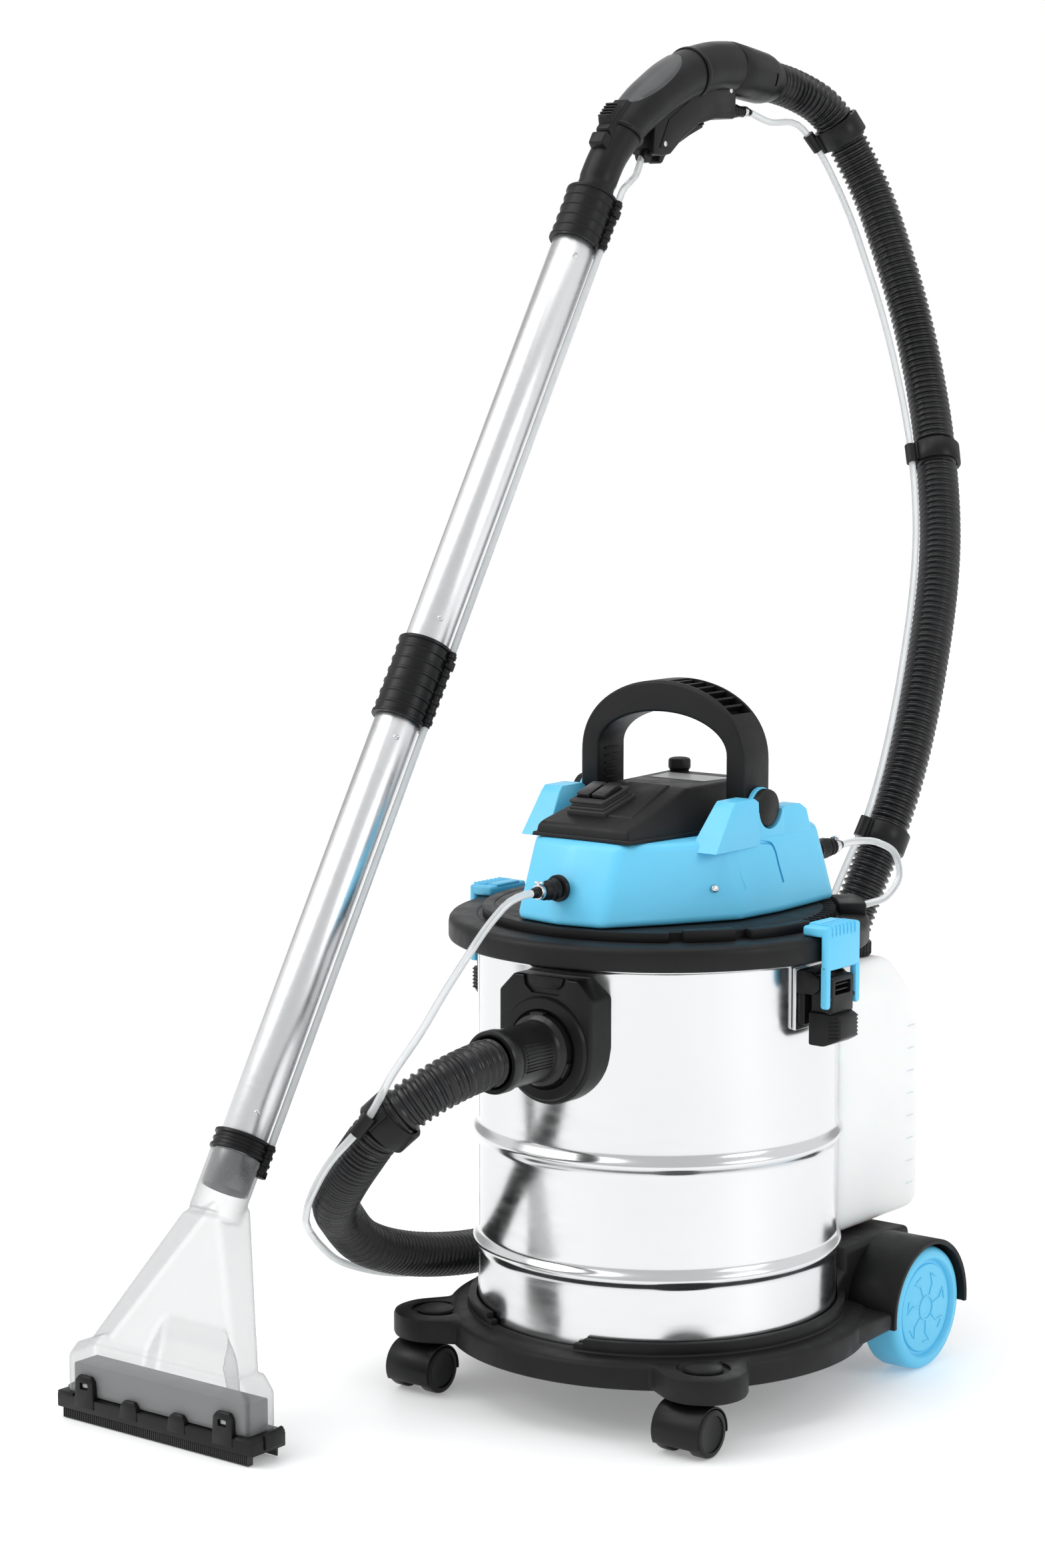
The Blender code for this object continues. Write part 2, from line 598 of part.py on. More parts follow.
def side_clips():
    half = CLIP_WIDTH / 2
    leg = 0.0060
    ear_out = CLIP_LEVER_WIDTH / 2 + PLAY + 0.0036
    face_in = LID_RADIUS + 0.001
    face_out = face_in + 0.006
    for side, sign in (("left", -1), ("right", 1)):
        turn = 0.0 if sign > 0 else math.pi
        frame = anchor("clip_" + side, (0.0, 0.0, 0.0), MACHINE, (0.0, 0.0, turn))
        bracket = span("clip_bracket_" + side, (0.136, -half + 0.001, 0.305),
                       (CLIP_PIVOT_X - 0.0135, half - 0.001, 0.351), BLACK, frame)
        wall = rod("bracket_back_" + side, TANK_RADIUS + GAP, 0.4, (0.0, 0.0, 0.25), parent=frame,
                   sides=48)
        cut(bracket, wall)
        for end in (-1, 1):
            middle = end * (ear_out - 0.0018)
            ear = block("ear_%s_%d" % (side, end), (0.022, 0.0036, 0.019),
                        (CLIP_PIVOT_X - 0.007, middle, CLIP_PIVOT_Z), parent=frame)
            join(bracket, ear)
        cut(bracket, rod("ear_hole_" + side, CLIP_PIN_RADIUS + GAP, 0.06,
                         (CLIP_PIVOT_X, 0.0, CLIP_PIVOT_Z), "Y", parent=frame, sides=12))
        lever_half = CLIP_LEVER_WIDTH / 2
        lever = span("clip_lever_" + side, (CLIP_PIVOT_X - 0.0075, -lever_half, 0.316),
                     (CLIP_PIVOT_X + 0.012, lever_half, CLIP_PIVOT_Z + 0.006), BLACK, frame)
        grip = span("lever_grip_" + side, (CLIP_PIVOT_X - 0.0074, -lever_half - 0.003, 0.293),
                    (CLIP_PIVOT_X + 0.018, lever_half + 0.003, 0.3195), parent=frame)
        pivot = rod("lever_pin_" + side, CLIP_PIN_RADIUS, 2 * ear_out - 0.0004,
                    (CLIP_PIVOT_X, 0.0, CLIP_PIVOT_Z), "Y", parent=frame, sides=12)
        link = rod("hook_pin_" + side, CLIP_PIN_RADIUS, CLIP_WIDTH - 0.0004,
                   (CLIP_HOOK_X, 0.0, CLIP_HOOK_Z), "Y", parent=frame, sides=12)
        join(lever, grip, pivot, link)
        hook = span("clip_hook_" + side, (face_in, -half, CLIP_PIVOT_Z + 0.011),
                    (face_out, half, DECK_Z + 0.009), BLUE, frame)
        top = span("hook_top_" + side, (0.150, -half + 0.0002, DECK_Z + PLAY),
                   (face_out - 0.0002, half - 0.0002, DECK_Z + 0.0088), parent=frame)
        join(hook, top)
        for end in (-1, 1):
            edge = end * (half - leg / 2 - 0.0001)
            strap = block("hook_leg_%s_%d" % (side, end), (face_out - face_in - 0.0004, leg - 0.0002, 0.0335),
                          ((face_in + face_out) / 2, edge, 0.34025), parent=frame)
            join(hook, strap)
        cut(hook, rod("hook_hole_" + side, CLIP_PIN_RADIUS + GAP, 0.06,
                      (CLIP_HOOK_X, 0.0, CLIP_HOOK_Z), "Y", parent=frame, sides=12))


# ---- lid and head ----------------------------------------------------------------------
def lid():
    seal_inner, seal_outer = TANK_RADIUS - 0.0042, TANK_RADIUS + 0.0032
    seal_top = TANK_TOP + GAP + 0.0037
    turned("lid_ring", [
        (LID_HOLE, DECK_Z + COLLAR_HEIGHT), (COLLAR_RADIUS - 0.002, DECK_Z + COLLAR_HEIGHT),
        (COLLAR_RADIUS, DECK_Z + COLLAR_HEIGHT - 0.002), (COLLAR_RADIUS, DECK_Z),
        (LID_RADIUS - 0.003, DECK_Z), (LID_RADIUS, DECK_Z - 0.003), (LID_RADIUS, LID_BOTTOM),
        (seal_outer + GAP, LID_BOTTOM), (seal_outer + GAP, seal_top + GAP),
        (seal_inner - GAP, seal_top + GAP), (seal_inner - GAP, TANK_TOP - 0.0085),
        (seal_inner - 0.0038, TANK_TOP - 0.0085), (seal_inner - 0.0038, seal_top + 0.001),
        (LID_HOLE, seal_top + 0.001)], paint=BLACK, steps=40)
    turned("lid_seal", [(seal_inner, seal_top), (seal_outer, seal_top),
                        (seal_outer, TANK_TOP + GAP), (seal_inner, TANK_TOP + GAP)],
           paint=RUBBER, steps=40)


def head():
    low, high = SHELL_BOTTOM, SHELL_TOP
    foot = [(0.0, -0.137), (0.040, -0.130), (0.070, -0.085), (0.100, -0.030), (0.104, 0.020),
            (0.100, 0.100), (0.085, 0.117), (0.0, 0.121)]
    brow = [(0.0, -0.112), (0.040, -0.106), (0.062, -0.075), (0.089, -0.030), (0.0935, 0.020),
            (0.0915, 0.084), (0.078, 0.103), (0.0, 0.107)]
    points = [(x, y, low) for x, y in foot] + [(x, y, high) for x, y in brow]
    shell = hull("head_shell", points, BLUE)
    squeeze = 1.0 - 2 * HEAD_WALL / 0.19
    inner = [(x * squeeze, y * squeeze, low - 0.02) for x, y in foot]
    inner += [(x * squeeze, y * squeeze, low + 0.001) for x, y in foot]
    inner += [(x * squeeze, y * squeeze, high - HEAD_WALL) for x, y in brow]
    post_in = HANDLE_HALF_WIDTH + PLAY
    post_out = post_in + 0.0045
    post_top = PIVOT_Z + CAP_RADIUS + 0.001
    for side, sign in (("left", -1), ("right", 1)):
        towers = [("front", 0.079, 0.0925, -0.042, PIVOT_Y - CAP_RADIUS - 0.0015, high + 0.029),
                  ("back", 0.079, 0.0915, PIVOT_Y + CAP_RADIUS + 0.0015, 0.078, high + 0.019),
                  ("post", post_in, post_out, PIVOT_Y - 0.018, PIVOT_Y + 0.018, post_top)]
        for name, x0, x1, y0, y1, top in towers:
            xs = sorted((sign * x0, sign * x1))
            join(shell, span("tower_%s_%s" % (name, side), (xs[0], y0, high - 0.006),
                             (xs[1], y1, top)))
    room = hull("head_room", inner)
    pivot_hole = rod("pivot_hole", PIN_RADIUS + PLAY, 0.3, (0.0, PIVOT_Y, PIVOT_Z), "X")
    outlet_hole = rod("outlet_hole", 0.0065, 0.06, (0.0, -0.125, OUTLET_Z), "Y")
    feed_hole = rod("feed_hole", 0.0065, 0.06, (FEED_BARB_X, 0.110, FEED_BARB_Z), "Y")
    gland = turned("cord_gland", [(0.0, 0.024), (0.0050, 0.024), (0.0065, 0.014), (0.0100, 0.012),
                                  (0.0100, 0.0070), (0.0070, 0.0060), (0.0070, 0.0), (0.0, 0.0)],
                   (-0.050, 0.107, 0.405), "Y", steps=SMALL, ring=False)
    gland.rotation_euler = (-math.pi / 2, 0.0, 0.0)
    join(shell, gland)
    cut(shell, room, pivot_hole, outlet_hole, feed_hole)
    cover_low = high + GAP
    plateau = high + COVER_HEIGHT
    cover_points = [(0.0, -0.102, cover_low), (0.045, -0.102, cover_low), (0.0575, -0.010, cover_low),
                    (0.0575, 0.080, cover_low), (0.045, 0.100, cover_low),
                    (0.0, -0.100, high + 0.011), (0.043, -0.100, high + 0.011),
                    (0.0, -0.012, plateau - 0.001), (0.036, -0.012, plateau - 0.001),
                    (0.040, 0.070, plateau), (0.0, 0.092, plateau - 0.004)]
    cover = hull("top_cover", cover_points, BLACK)
    room = [(0.92 * x, 0.92 * y - 0.001, z - (HEAD_WALL if z > cover_low else 0.01))
            for x, y, z in cover_points]
    cut(cover, hull("cover_room", room))
    knob = rod("cover_knob", 0.009, 0.016, (-0.030, 0.070, plateau + 0.003), sides=SMALL)
    join(cover, knob)


def switches():
    slope = math.atan2(COVER_HEIGHT - 0.012, 0.088)
    frame = anchor("switch_frame", (-0.011, -0.061, SHELL_TOP + 0.0213), MACHINE, (slope, 0.0, 0.0))
    base = span("switch_base", (-0.0165, -0.0195, GAP), (0.0165, 0.0195, 0.0135), BLACK, frame)
    for number, (name, x) in enumerate((("switch_vacuum", -0.0072), ("switch_pump", 0.0072))):
        cut(base, span("switch_slot_%d" % number, (x - 0.0065, -0.0125, 0.006),
                       (x + 0.0065, 0.0125, 0.02), parent=frame))
        rocker = rod(name, 0.0034, 0.0122, (x, 0.0, 0.0105), "X", BLACK, frame, sides=12)
        join(rocker, block("rocker_%d" % number, (0.0120, 0.0230, 0.0034), (x, 0.0, 0.0132),
                           parent=frame))


def carry_handle():
    outer, inner = HANDLE_HALF_WIDTH, HANDLE_HALF_WIDTH - HANDLE_LEG
    bottom = 0.0
    spring = 0.040
    top = HANDLE_RISE
    arch_in = top - 0.0245
    profile = [(-outer, bottom), (-inner, bottom), (-inner, spring)]
    steps = 10
    for index in range(1, steps):
        angle = math.pi * (1 - index / steps)
        profile.append((inner * math.cos(angle), spring + (arch_in - spring) * math.sin(angle)))
    profile += [(inner, spring), (inner, bottom), (outer, bottom), (outer, spring - 0.006)]
    for index in range(1, steps):
        angle = math.pi * index / steps
        profile.append((outer * math.cos(angle), spring - 0.006
                        + (top - spring + 0.006) * math.sin(angle) ** 0.9))
    profile.append((-outer, spring - 0.006))
    handle = outline("carry_handle", profile, HANDLE_DEPTH, (0.0, PIVOT_Y, PIVOT_Z),
                     (math.pi / 2, 0.0, 0.0), BLACK)
    post_out = HANDLE_HALF_WIDTH + PLAY + 0.0045
    cap_out = post_out + PLAY + 0.0075
    for side, sign in (("left", -1), ("right", 1)):
        hub = rod("hub_" + side, HANDLE_DEPTH / 2 - 0.0001, HANDLE_LEG - 0.0002,
                  (sign * (outer + inner) / 2, PIVOT_Y, PIVOT_Z), "X", sides=24)
        pin = rod("pin_" + side, PIN_RADIUS, cap_out - 0.070 - 0.001,
                  (sign * (0.070 + cap_out - 0.001) / 2, PIVOT_Y, PIVOT_Z), "X")
        cap = rod("cap_" + side, CAP_RADIUS, 0.0075, (sign * (cap_out - 0.00375), PIVOT_Y, PIVOT_Z),
                  "X", sides=24)
        join(handle, hub, pin, cap)


def motor_and_filter():
    seat = DECK_Z + COLLAR_HEIGHT + GAP
    top = seat + 0.035
    wall = 0.003
    bottom = MOTOR_BOTTOM
    turned("motor_housing", [
        (0.0, top), (0.050, top), (0.058, top - 0.009), (0.058, seat + 0.0035),
        (0.088, seat + 0.0035), (0.088, seat), (MOTOR_RADIUS, seat), (MOTOR_RADIUS, bottom),
        (INTAKE_RADIUS, bottom), (INTAKE_RADIUS, bottom + wall),
        (MOTOR_RADIUS - wall, bottom + wall), (MOTOR_RADIUS - wall, seat - 0.002),
        (0.055, seat + 0.004), (0.055, top - 0.011), (0.048, top - wall),
        (0.0045, top - wall), (0.0045, top - wall - 0.006), (0.0, top - wall - 0.006)],
        paint=GREY, steps=24, ring=False)
    shaft_top = top - wall - 0.008
    turned("motor_rotor", [
        (0.0, shaft_top), (0.004, shaft_top), (0.004, seat + 0.012), (0.027, seat + 0.012),
        (0.027, 0.335), (0.006, 0.335), (0.006, bottom + 0.020), (0.060, bottom + 0.020),
        (0.060, bottom + 0.009), (0.0, bottom + 0.009)], paint=ALUMINIUM, steps=20, ring=False)
    cage_top = bottom - GAP
    cage_low = cage_top - CAGE_HEIGHT
    cage = turned("float_cage", [
        (CAGE_RADIUS - 0.0035, cage_top), (CAGE_RADIUS, cage_top), (CAGE_RADIUS, cage_low),
        (0.008, cage_low), (0.008, cage_low + 0.003), (CAGE_RADIUS - 0.0035, cage_low + 0.003)],
        paint=BLACK, steps=24)
    middle = (cage_top + cage_low) / 2
    for number in range(2):
        turn = math.pi / 4 + number * math.pi / 2
        cut(cage, block("cage_window_%d" % number, (0.1, 0.022, CAGE_HEIGHT - 0.020),
                        (0.0, 0.0, middle), turn=(0.0, 0.0, turn)))
    ball("float_ball", BALL_RADIUS, (0.0, 0.0, cage_low + 0.0035 + BALL_RADIUS), WHITE, sides=20)
    tube_ring("filter", CAGE_RADIUS + 0.006, 0.060, CAGE_HEIGHT, (0.0, 0.0, middle), paint=FOAM,
              steps=24)


def barb(name, root, face, out, z, x, flange):
    """A hose barb through the shell's wall, from its root inside to its nose at out, with a
    flange whose back stands at face."""
    length = abs(out - root)
    wall = abs(face - root)
    sign = 1 if out > root else -1
    profile = [(0.0, length), (BARB_RADIUS - 0.001, length), (BARB_RADIUS, length - 0.004),
               (BARB_RADIUS - 0.0007, length - 0.010), (BARB_RADIUS + 0.0010, length - 0.012),
               (BARB_RADIUS + 0.0010, wall + 0.004), (flange, wall + 0.004), (flange, wall + 0.0005),
               (0.0058, wall + 0.0005), (0.0058, 0.0), (0.0, 0.0)]
    obj = turned(name, profile, (x, root, z), "Y", BLACK, steps=SMALL, ring=False)
    obj.rotation_euler = (math.pi / 2 if sign < 0 else -math.pi / 2, 0.0, 0.0)


def pump_and_fittings():
    seat = DECK_Z + COLLAR_HEIGHT + GAP + 0.0035 + GAP
    span("water_pump", (-0.022, -0.106, seat), (0.022, -0.062, seat + 0.038), GREY,
         round_edge=0.003)
    barb("outlet_barb", -0.1063, -0.1298, -0.1630, OUTLET_Z, 0.0, 0.0092)
    barb("feed_barb", 0.1000, 0.1140, 0.1710, FEED_BARB_Z, FEED_BARB_X, 0.0085)


# ---- clean water tank --------------------------------------------------------------------
def water_tank():
    front = 0.110
    half, back = WATER_TANK_HALF, WATER_TANK_BACK
    low, high = WATER_TANK_BOTTOM, WATER_TANK_TOP
    body = span("water_tank", (-half, front, low), (half, back, high), WHITE, round_edge=0.012)
    shoulder = hull("tank_shoulder", [
        (0.12, 0.212, high + 0.01), (0.12, 0.26, high + 0.01), (0.12, 0.26, high - 0.050),
        (0.12, 0.238, high - 0.045)])
    well = rod("drum_side", TANK_RADIUS + BEAD_DEPTH + 0.0015, 0.5, (0.0, 0.0, 0.25), sides=48)
    wall = WATER_TANK_WALL
    room = span("water_room", (-half + wall, front, low + wall),
                (half - wall, back - wall, high - wall), round_edge=0.010)
    keep = rod("room_side", TANK_RADIUS + BEAD_DEPTH + 0.0015 + wall, 0.5, (0.0, 0.0, 0.25),
               sides=48)
    step = hull("room_shoulder", [
        (0.12, 0.210, high + 0.01), (0.12, 0.26, high + 0.01), (0.12, 0.26, high - 0.053),
        (0.12, 0.235, high - 0.048)])
    cut(room, keep, step)
    at = (WATER_CAP_X, WATER_CAP_Y, high + 0.004)
    neck = rod("water_neck", WATER_NECK_RADIUS, 0.012, at, sides=24)
    neck_hole = rod("water_mouth", WATER_NECK_RADIUS - 0.003, 0.030, at, sides=24)
    cut(body, shoulder, well)
    join(body, neck)
    cut(body, room, neck_hole)
    rim = high + 0.010
    inside = WATER_NECK_RADIUS + GAP
    cap = turned("water_tank_cap", [
        (0.0, rim + 0.0035), (inside + 0.002, rim + 0.0035), (inside + 0.0035, rim + 0.002),
        (inside + 0.0035, high + GAP), (inside, high + GAP), (inside, rim + GAP), (0.0, rim + GAP)],
        (WATER_CAP_X, WATER_CAP_Y, 0.0), paint=BLACK, steps=24, ring=False)
    join(cap, rod("cap_spout", 0.0045, 0.014, (WATER_CAP_X, WATER_CAP_Y, rim + 0.0095), sides=12))


# ---- hose, tubes and their clips ---------------------------------------------------------
def hoses():
    hose = [Vector(HOSE_ROUTE[0]), *smooth_curve(HOSE_ROUTE[1:-1], HOSE_POINTS - 2),
            Vector(HOSE_ROUTE[-1])]
    pipe("suction_hose", hose, HOSE_RADIUS, RUBBER)
    beside = []
    steps = 44
    for index in range(steps + 1):
        share = LINE_JOINS + (LINE_LEAVES - LINE_JOINS) * index / steps
        beside.append(along(hose, share)[0] + LINE_OFFSET * side_of(hose, share))
    line = smooth_curve(LINE_START + beside + LINE_END, 80)
    pipe("spray_tube", line, LINE_RADIUS, CLEAR)
    pipe("feed_tube", smooth_curve(FEED_ROUTE, 28), LINE_RADIUS, CLEAR)
    length = 0.014
    inner = HOSE_RADIUS + 0.0016
    eye_inner = LINE_RADIUS + 0.0019
    reach = length / 2 / sum((b - a).length for a, b in zip(line, line[1:]))
    for number, share in enumerate(CLIP_SHARES, 1):
        facet = int(share * (HOSE_POINTS - 1))
        centre = (hose[facet] + hose[facet + 1]) / 2
        direction = (hose[facet + 1] - hose[facet]).normalized()
        beside = centre + LINE_OFFSET * side_of(hose, share)
        near = min((step / 2000 for step in range(60, 1940)),
                   key=lambda at: (along(line, at)[0] - beside).length)
        eye_ends = [along(line, near + way * reach)[0] for way in (-1, 1)]
        frame = anchor("clip_frame_%d" % number, centre, MACHINE,
                       direction.to_track_quat("Z", "Y").to_euler())
        middle = (eye_ends[0] + eye_ends[1]) / 2
        eye_frame = anchor("eye_frame_%d" % number, middle, MACHINE,
                           (eye_ends[1] - eye_ends[0]).to_track_quat("Z", "Y").to_euler())
        clip = tube_ring("hose_clip_%d" % number, inner, inner + 0.0022, length, (0.0, 0.0, 0.0),
                         paint=BLACK, parent=frame, steps=20)
        neck = pipe("eye_neck_%d" % number, [centre.lerp(middle, 0.8), middle], 0.0036)
        eye = rod("eye_%d" % number, eye_inner + 0.0018, length - 0.001, (0.0, 0.0, 0.0),
                  parent=eye_frame, sides=12)
        bore = rod("clip_bore_%d" % number, inner, 0.05, (0.0, 0.0, 0.0), parent=frame, sides=20)
        eye_bore = rod("eye_bore_%d" % number, eye_inner, 0.05, (0.0, 0.0, 0.0),
                       parent=eye_frame, sides=12)
        join(clip, to_mesh(neck), eye)
        cut(clip, bore, eye_bore)


# ---- grip -------------------------------------------------------------------------------
def grip():
    centre = smooth_curve([(WAND_X, y, z) for y, z in GRIP_ROUTE], 15)
    marks = len(GRIP_SWELL) - 1
    swell = []
    for index in range(15):
        place = index / 14 * marks
        low = min(int(place), marks - 1)
        swell.append(GRIP_SWELL[low] + (place - low) * (GRIP_SWELL[low + 1] - GRIP_SWELL[low]))
    away = Vector((0.0, math.cos(GRIP_END_LEAN), math.sin(GRIP_END_LEAN)))
    body = to_mesh(pipe("grip_body", centre + [centre[-1] + away * 0.008], GRIP_RADIUS, BLACK,
                        swell=swell + [GRIP_SWELL[-1]], detail=4))
    longer = [centre[0] * 2 - centre[1]] + centre + [centre[-1] + away * 0.020]
    hollow = to_mesh(pipe("grip_hollow", longer, GRIP_RADIUS - GRIP_WALL, swell=[0.98] + swell + [1.4],
                          detail=4))
    outline_points = [(0.258, 0.9850), (0.284, 0.9850), (0.300, 0.9985), (0.326, 1.0140),
                      (0.3815, 1.0205), (0.3815, 1.060), (0.320, 1.060), (0.262, 1.030)]
    housing = outline("trigger_housing", outline_points, 0.024, (WAND_X, 0.0, 0.0),
                      (math.pi / 2, 0.0, math.pi / 2), BLACK)
    skin = to_mesh(pipe("grip_skin", longer, GRIP_RADIUS + GAP, swell=[0.98] + swell + [1.42],
                        detail=4))
    slot_points = [(0.265, 0.970), (0.290, 0.970), (0.345, 1.005), (0.345, 1.0225),
                   (0.318, 1.0225), (0.296, 1.0130), (0.272, 1.0020)]
    slot = outline("trigger_slot", slot_points, 0.0140, (WAND_X, 0.0, 0.0),
                   (math.pi / 2, 0.0, math.pi / 2))
    cut(housing, skin, slot)
    lever = outline("trigger_lever", [
        (0.2735, 0.9790), (0.2790, 0.9790), (0.2830, 0.9840), (0.3040, 0.9965),
        (0.3400, 1.0120), (0.3400, 1.0180), (0.3200, 1.0170), (0.2980, 1.0070),
        (0.2760, 0.9890)], 0.0125, (WAND_X, 0.0, 0.0), (math.pi / 2, 0.0, math.pi / 2), BLACK)
    pivot = (WAND_X, 0.335, 1.0150)
    join(lever, rod("trigger_pin", 0.0012, 0.020, pivot, "X", sides=12))
    cut(housing, rod("trigger_hole", 0.0012 + GAP, 0.0206, pivot, "X", sides=12))
    nose = turned("trigger_nose", [(0.0, 0.012), (0.0052, 0.012), (0.0052, -0.016), (0.0036, -0.020),
                                   (0.0036, -0.0365), (0.0, -0.0365)],
                  (WAND_X, 0.3845, 1.0300), "Y", steps=12, ring=False)
    join(housing, nose)
    start = along(centre, 0.40)
    lean = math.atan2(start[1].z, start[1].y)
    top = start[0] + Vector((0.0, -math.sin(lean), math.cos(lean))) * (GRIP_RADIUS * 1.20)
    pad = anchor("slider_frame", top, MACHINE, (lean, 0.0, 0.0))
    track = span("slider_track", (-0.008, -0.022, -0.010), (0.008, 0.022, 0.0035), parent=pad)
    groove = span("slider_groove", (-0.0055, -0.0195, 0.0010), (0.0055, 0.0195, 0.010), parent=pad)
    join(body, track)
    cut(body, groove)
    slider = span("airflow_slider", (-0.0050, -0.0125, 0.0010 + GAP), (0.0050, 0.0095, 0.0042), BLACK,
                  pad)
    join(slider, span("slider_top", (-0.0075, -0.0120, 0.0040), (0.0075, 0.0090, 0.0075), parent=pad))
    cut(body, hollow)
    cuff = anchor("cuff_frame", centre[-1] + away * PLAY, MACHINE,
                  (-math.pi / 2 + GRIP_END_LEAN, 0.0, 0.0))
    cut(body, block("grip_end", (0.1, 0.1, 0.1), (0.0, 0.0, 0.050 - PLAY), parent=cuff))
    length = HANDLE_CUFF_LENGTH
    turned("handle_cuff", [(0.0165, length), (0.0192, length), (CUFF_RADIUS - 0.001, length - 0.012),
                           (CUFF_RADIUS, 0.002), (CUFF_RADIUS - 0.0015, 0.0), (0.0165, 0.0)],
           paint=BLACK, parent=cuff, steps=24)


# ---- wand --------------------------------------------------------------------------------
def sleeve(name, start, length, outer, extra=()):
    """A plastic sleeve on the wand's tube, with a boss at its side for the spray tube."""
    inner = WAND_RADIUS + GAP
    lip = outer + 0.0012
    body = turned(name, [(inner, length), (lip, length), (lip, length - 0.003),
                         (outer, length - 0.004), (outer, 0.004), (lip, 0.003), (lip, 0.0),
                         (inner, 0.0)], (0.0, 0.0, start), paint=BLACK, parent=WAND, steps=24)
    x = WAND_LINE_OFFSET * math.cos(LINE_SIDE)
    y = WAND_LINE_OFFSET * math.sin(LINE_SIDE)
    boss = rod(name + "_boss", 0.0046, length - 0.0006, (x, y, start + length / 2), parent=WAND,
               sides=12)
    bore = rod(name + "_bore", inner, length + 0.1, (0.0, 0.0, start + length / 2), parent=WAND,
               sides=24)
    join(body, boss)
    cut(body, bore)
    return body


def wand():
    tip = -0.031
    join_at = tip + WAND_TUBE
    upper_end = 0.846
    wall = WAND_WALL
    for name, low, high in (("wand_tube_lower", tip, join_at),
                            ("wand_tube_upper", join_at + PLAY, upper_end)):
        tube_ring(name, WAND_RADIUS - wall, WAND_RADIUS, high - low, (0.0, 0.0, (low + high) / 2),
                  paint=ALUMINIUM, parent=WAND, steps=24)
    outer = WAND_RADIUS + SLEEVE_WALL
    coupling_low = join_at - COUPLING_LENGTH / 2
    socket_low = upper_end - 0.026
    sleeve("wand_collar", -0.003, 0.015, outer)
    sleeve("wand_coupling", coupling_low, COUPLING_LENGTH, outer)
    sleeve("wand_socket_top", socket_low, SOCKET_LENGTH, outer)
    x = WAND_LINE_OFFSET * math.cos(LINE_SIDE)
    y = WAND_LINE_OFFSET * math.sin(LINE_SIDE)
    for name, low, high in (("wand_spray_tube_lower", 0.012, coupling_low),
                            ("wand_spray_tube_upper", coupling_low + COUPLING_LENGTH, socket_low)):
        rod(name, LINE_RADIUS, high - low - 2 * GAP, (x, y, (low + high) / 2), "Z", CLEAR, WAND, 12)


def nozzle():
    half = NOZZLE_LENGTH / 2 - 0.0035
    deep = NOZZLE_DEPTH / 2
    wall = NOZZLE_WALL
    low = FOOT_TOP + GAP
    lean = math.tan(WAND_LEAN)
    throat = 0.165
    throat_y = WAND_FOOT_Y - (WAND_FOOT_Z - throat) * lean - NOZZLE_Y

    def shape(name, thin, bottom, paint=None):
        box = hull(name, [(half - thin, y, z) for y in (thin - deep, deep - thin)
                          for z in (bottom, 0.052 - thin)]
                   + [(half - 0.012 - thin, y, 0.064 - thin) for y in (thin - deep, deep - thin)],
                   paint, NOZZLE)
        fan = hull(name + "_fan", [(half - 0.013 - thin, y, 0.055 - thin)
                                   for y in (thin - deep + 0.001, deep - thin - 0.001)]
                   + [(0.0185 - thin, y + throat_y, throat) for y in (thin - 0.0195, 0.0195 - thin)],
                   None, NOZZLE)
        return box, fan

    body, fan = shape("nozzle_shell", 0.0, low, CLEAR)
    room, fan_room = shape("nozzle_room", wall, low - 0.02)
    neck_low, neck_high = -0.052, -0.003 - GAP
    neck = rod("nozzle_neck", WAND_RADIUS + GAP + wall, neck_high - neck_low,
               (0.0, 0.0, (neck_low + neck_high) / 2), parent=WAND, sides=24)
    bore = rod("nozzle_bore", WAND_RADIUS + GAP, 0.10, (0.0, 0.0, -0.001), parent=WAND, sides=24)
    duct = hull("nozzle_duct", [(0.045, deep - 0.004, 0.030), (0.045, deep + 0.017, 0.034),
                                (0.040, deep + 0.019, 0.060), (0.024, deep + 0.012, 0.098),
                                (0.024, deep - 0.008, 0.105)], None, NOZZLE)
    duct_room = hull("duct_room", [(0.043, deep - 0.010, 0.032), (0.043, deep + 0.015, 0.036),
                                   (0.038, deep + 0.017, 0.059), (0.022, deep + 0.010, 0.096),
                                   (0.022, deep - 0.012, 0.103)], None, NOZZLE)
    join(body, fan, neck, duct)
    cut(body, room, fan_room, bore, duct_room)
    core = span("nozzle_core", (-half + wall + 0.001, -deep + wall + 0.001, 0.022),
                (half - wall - 0.001, deep - wall - 0.001, 0.044), GREY, NOZZLE)
    core_slot = span("core_slot", (-half + 0.012, -0.005, 0.0), (half - 0.012, 0.005, 0.1),
                     parent=NOZZLE)
    cut(core, core_slot)
    edge = NOZZLE_LENGTH / 2 + 0.004
    foot_low = STRIP_HEIGHT + GAP
    foot = span("nozzle_foot", (-edge, -deep - 0.0045, foot_low), (edge, deep + 0.003, FOOT_TOP), BLACK,
                NOZZLE)
    cut(foot, span("foot_slot", (-half + 0.010, -0.006, -0.01), (half - 0.010, 0.006, 0.05),
                   parent=NOZZLE))
    tab_front, tab_back = -deep - 0.0043, -deep - GAP
    for number, (x, width, top) in enumerate(((-0.072, 0.014, 0.037), (0.072, 0.014, 0.037),
                                              (-0.025, 0.013, 0.026), (0.025, 0.013, 0.026))):
        join(foot, span("foot_tab_%d" % number, (x - width / 2, tab_front, FOOT_TOP - 0.004),
                        (x + width / 2, tab_back, top), parent=NOZZLE))
    strip = NOZZLE_LENGTH / 2 - 0.001
    span("brush_strip", (-strip, -deep - 0.0035, 0.0), (strip, -deep + 0.003, STRIP_HEIGHT), RUBBER,
         NOZZLE)
    span("squeegee", (-strip, deep - 0.003, 0.0), (strip, deep, STRIP_HEIGHT), RUBBER, NOZZLE)


dolly()
rear_wheels()
casters()
tank()
inlet()
side_clips()
lid()
head()
switches()
carry_handle()
motor_and_filter()
pump_and_fittings()
water_tank()
hoses()
grip()
wand()
nozzle()
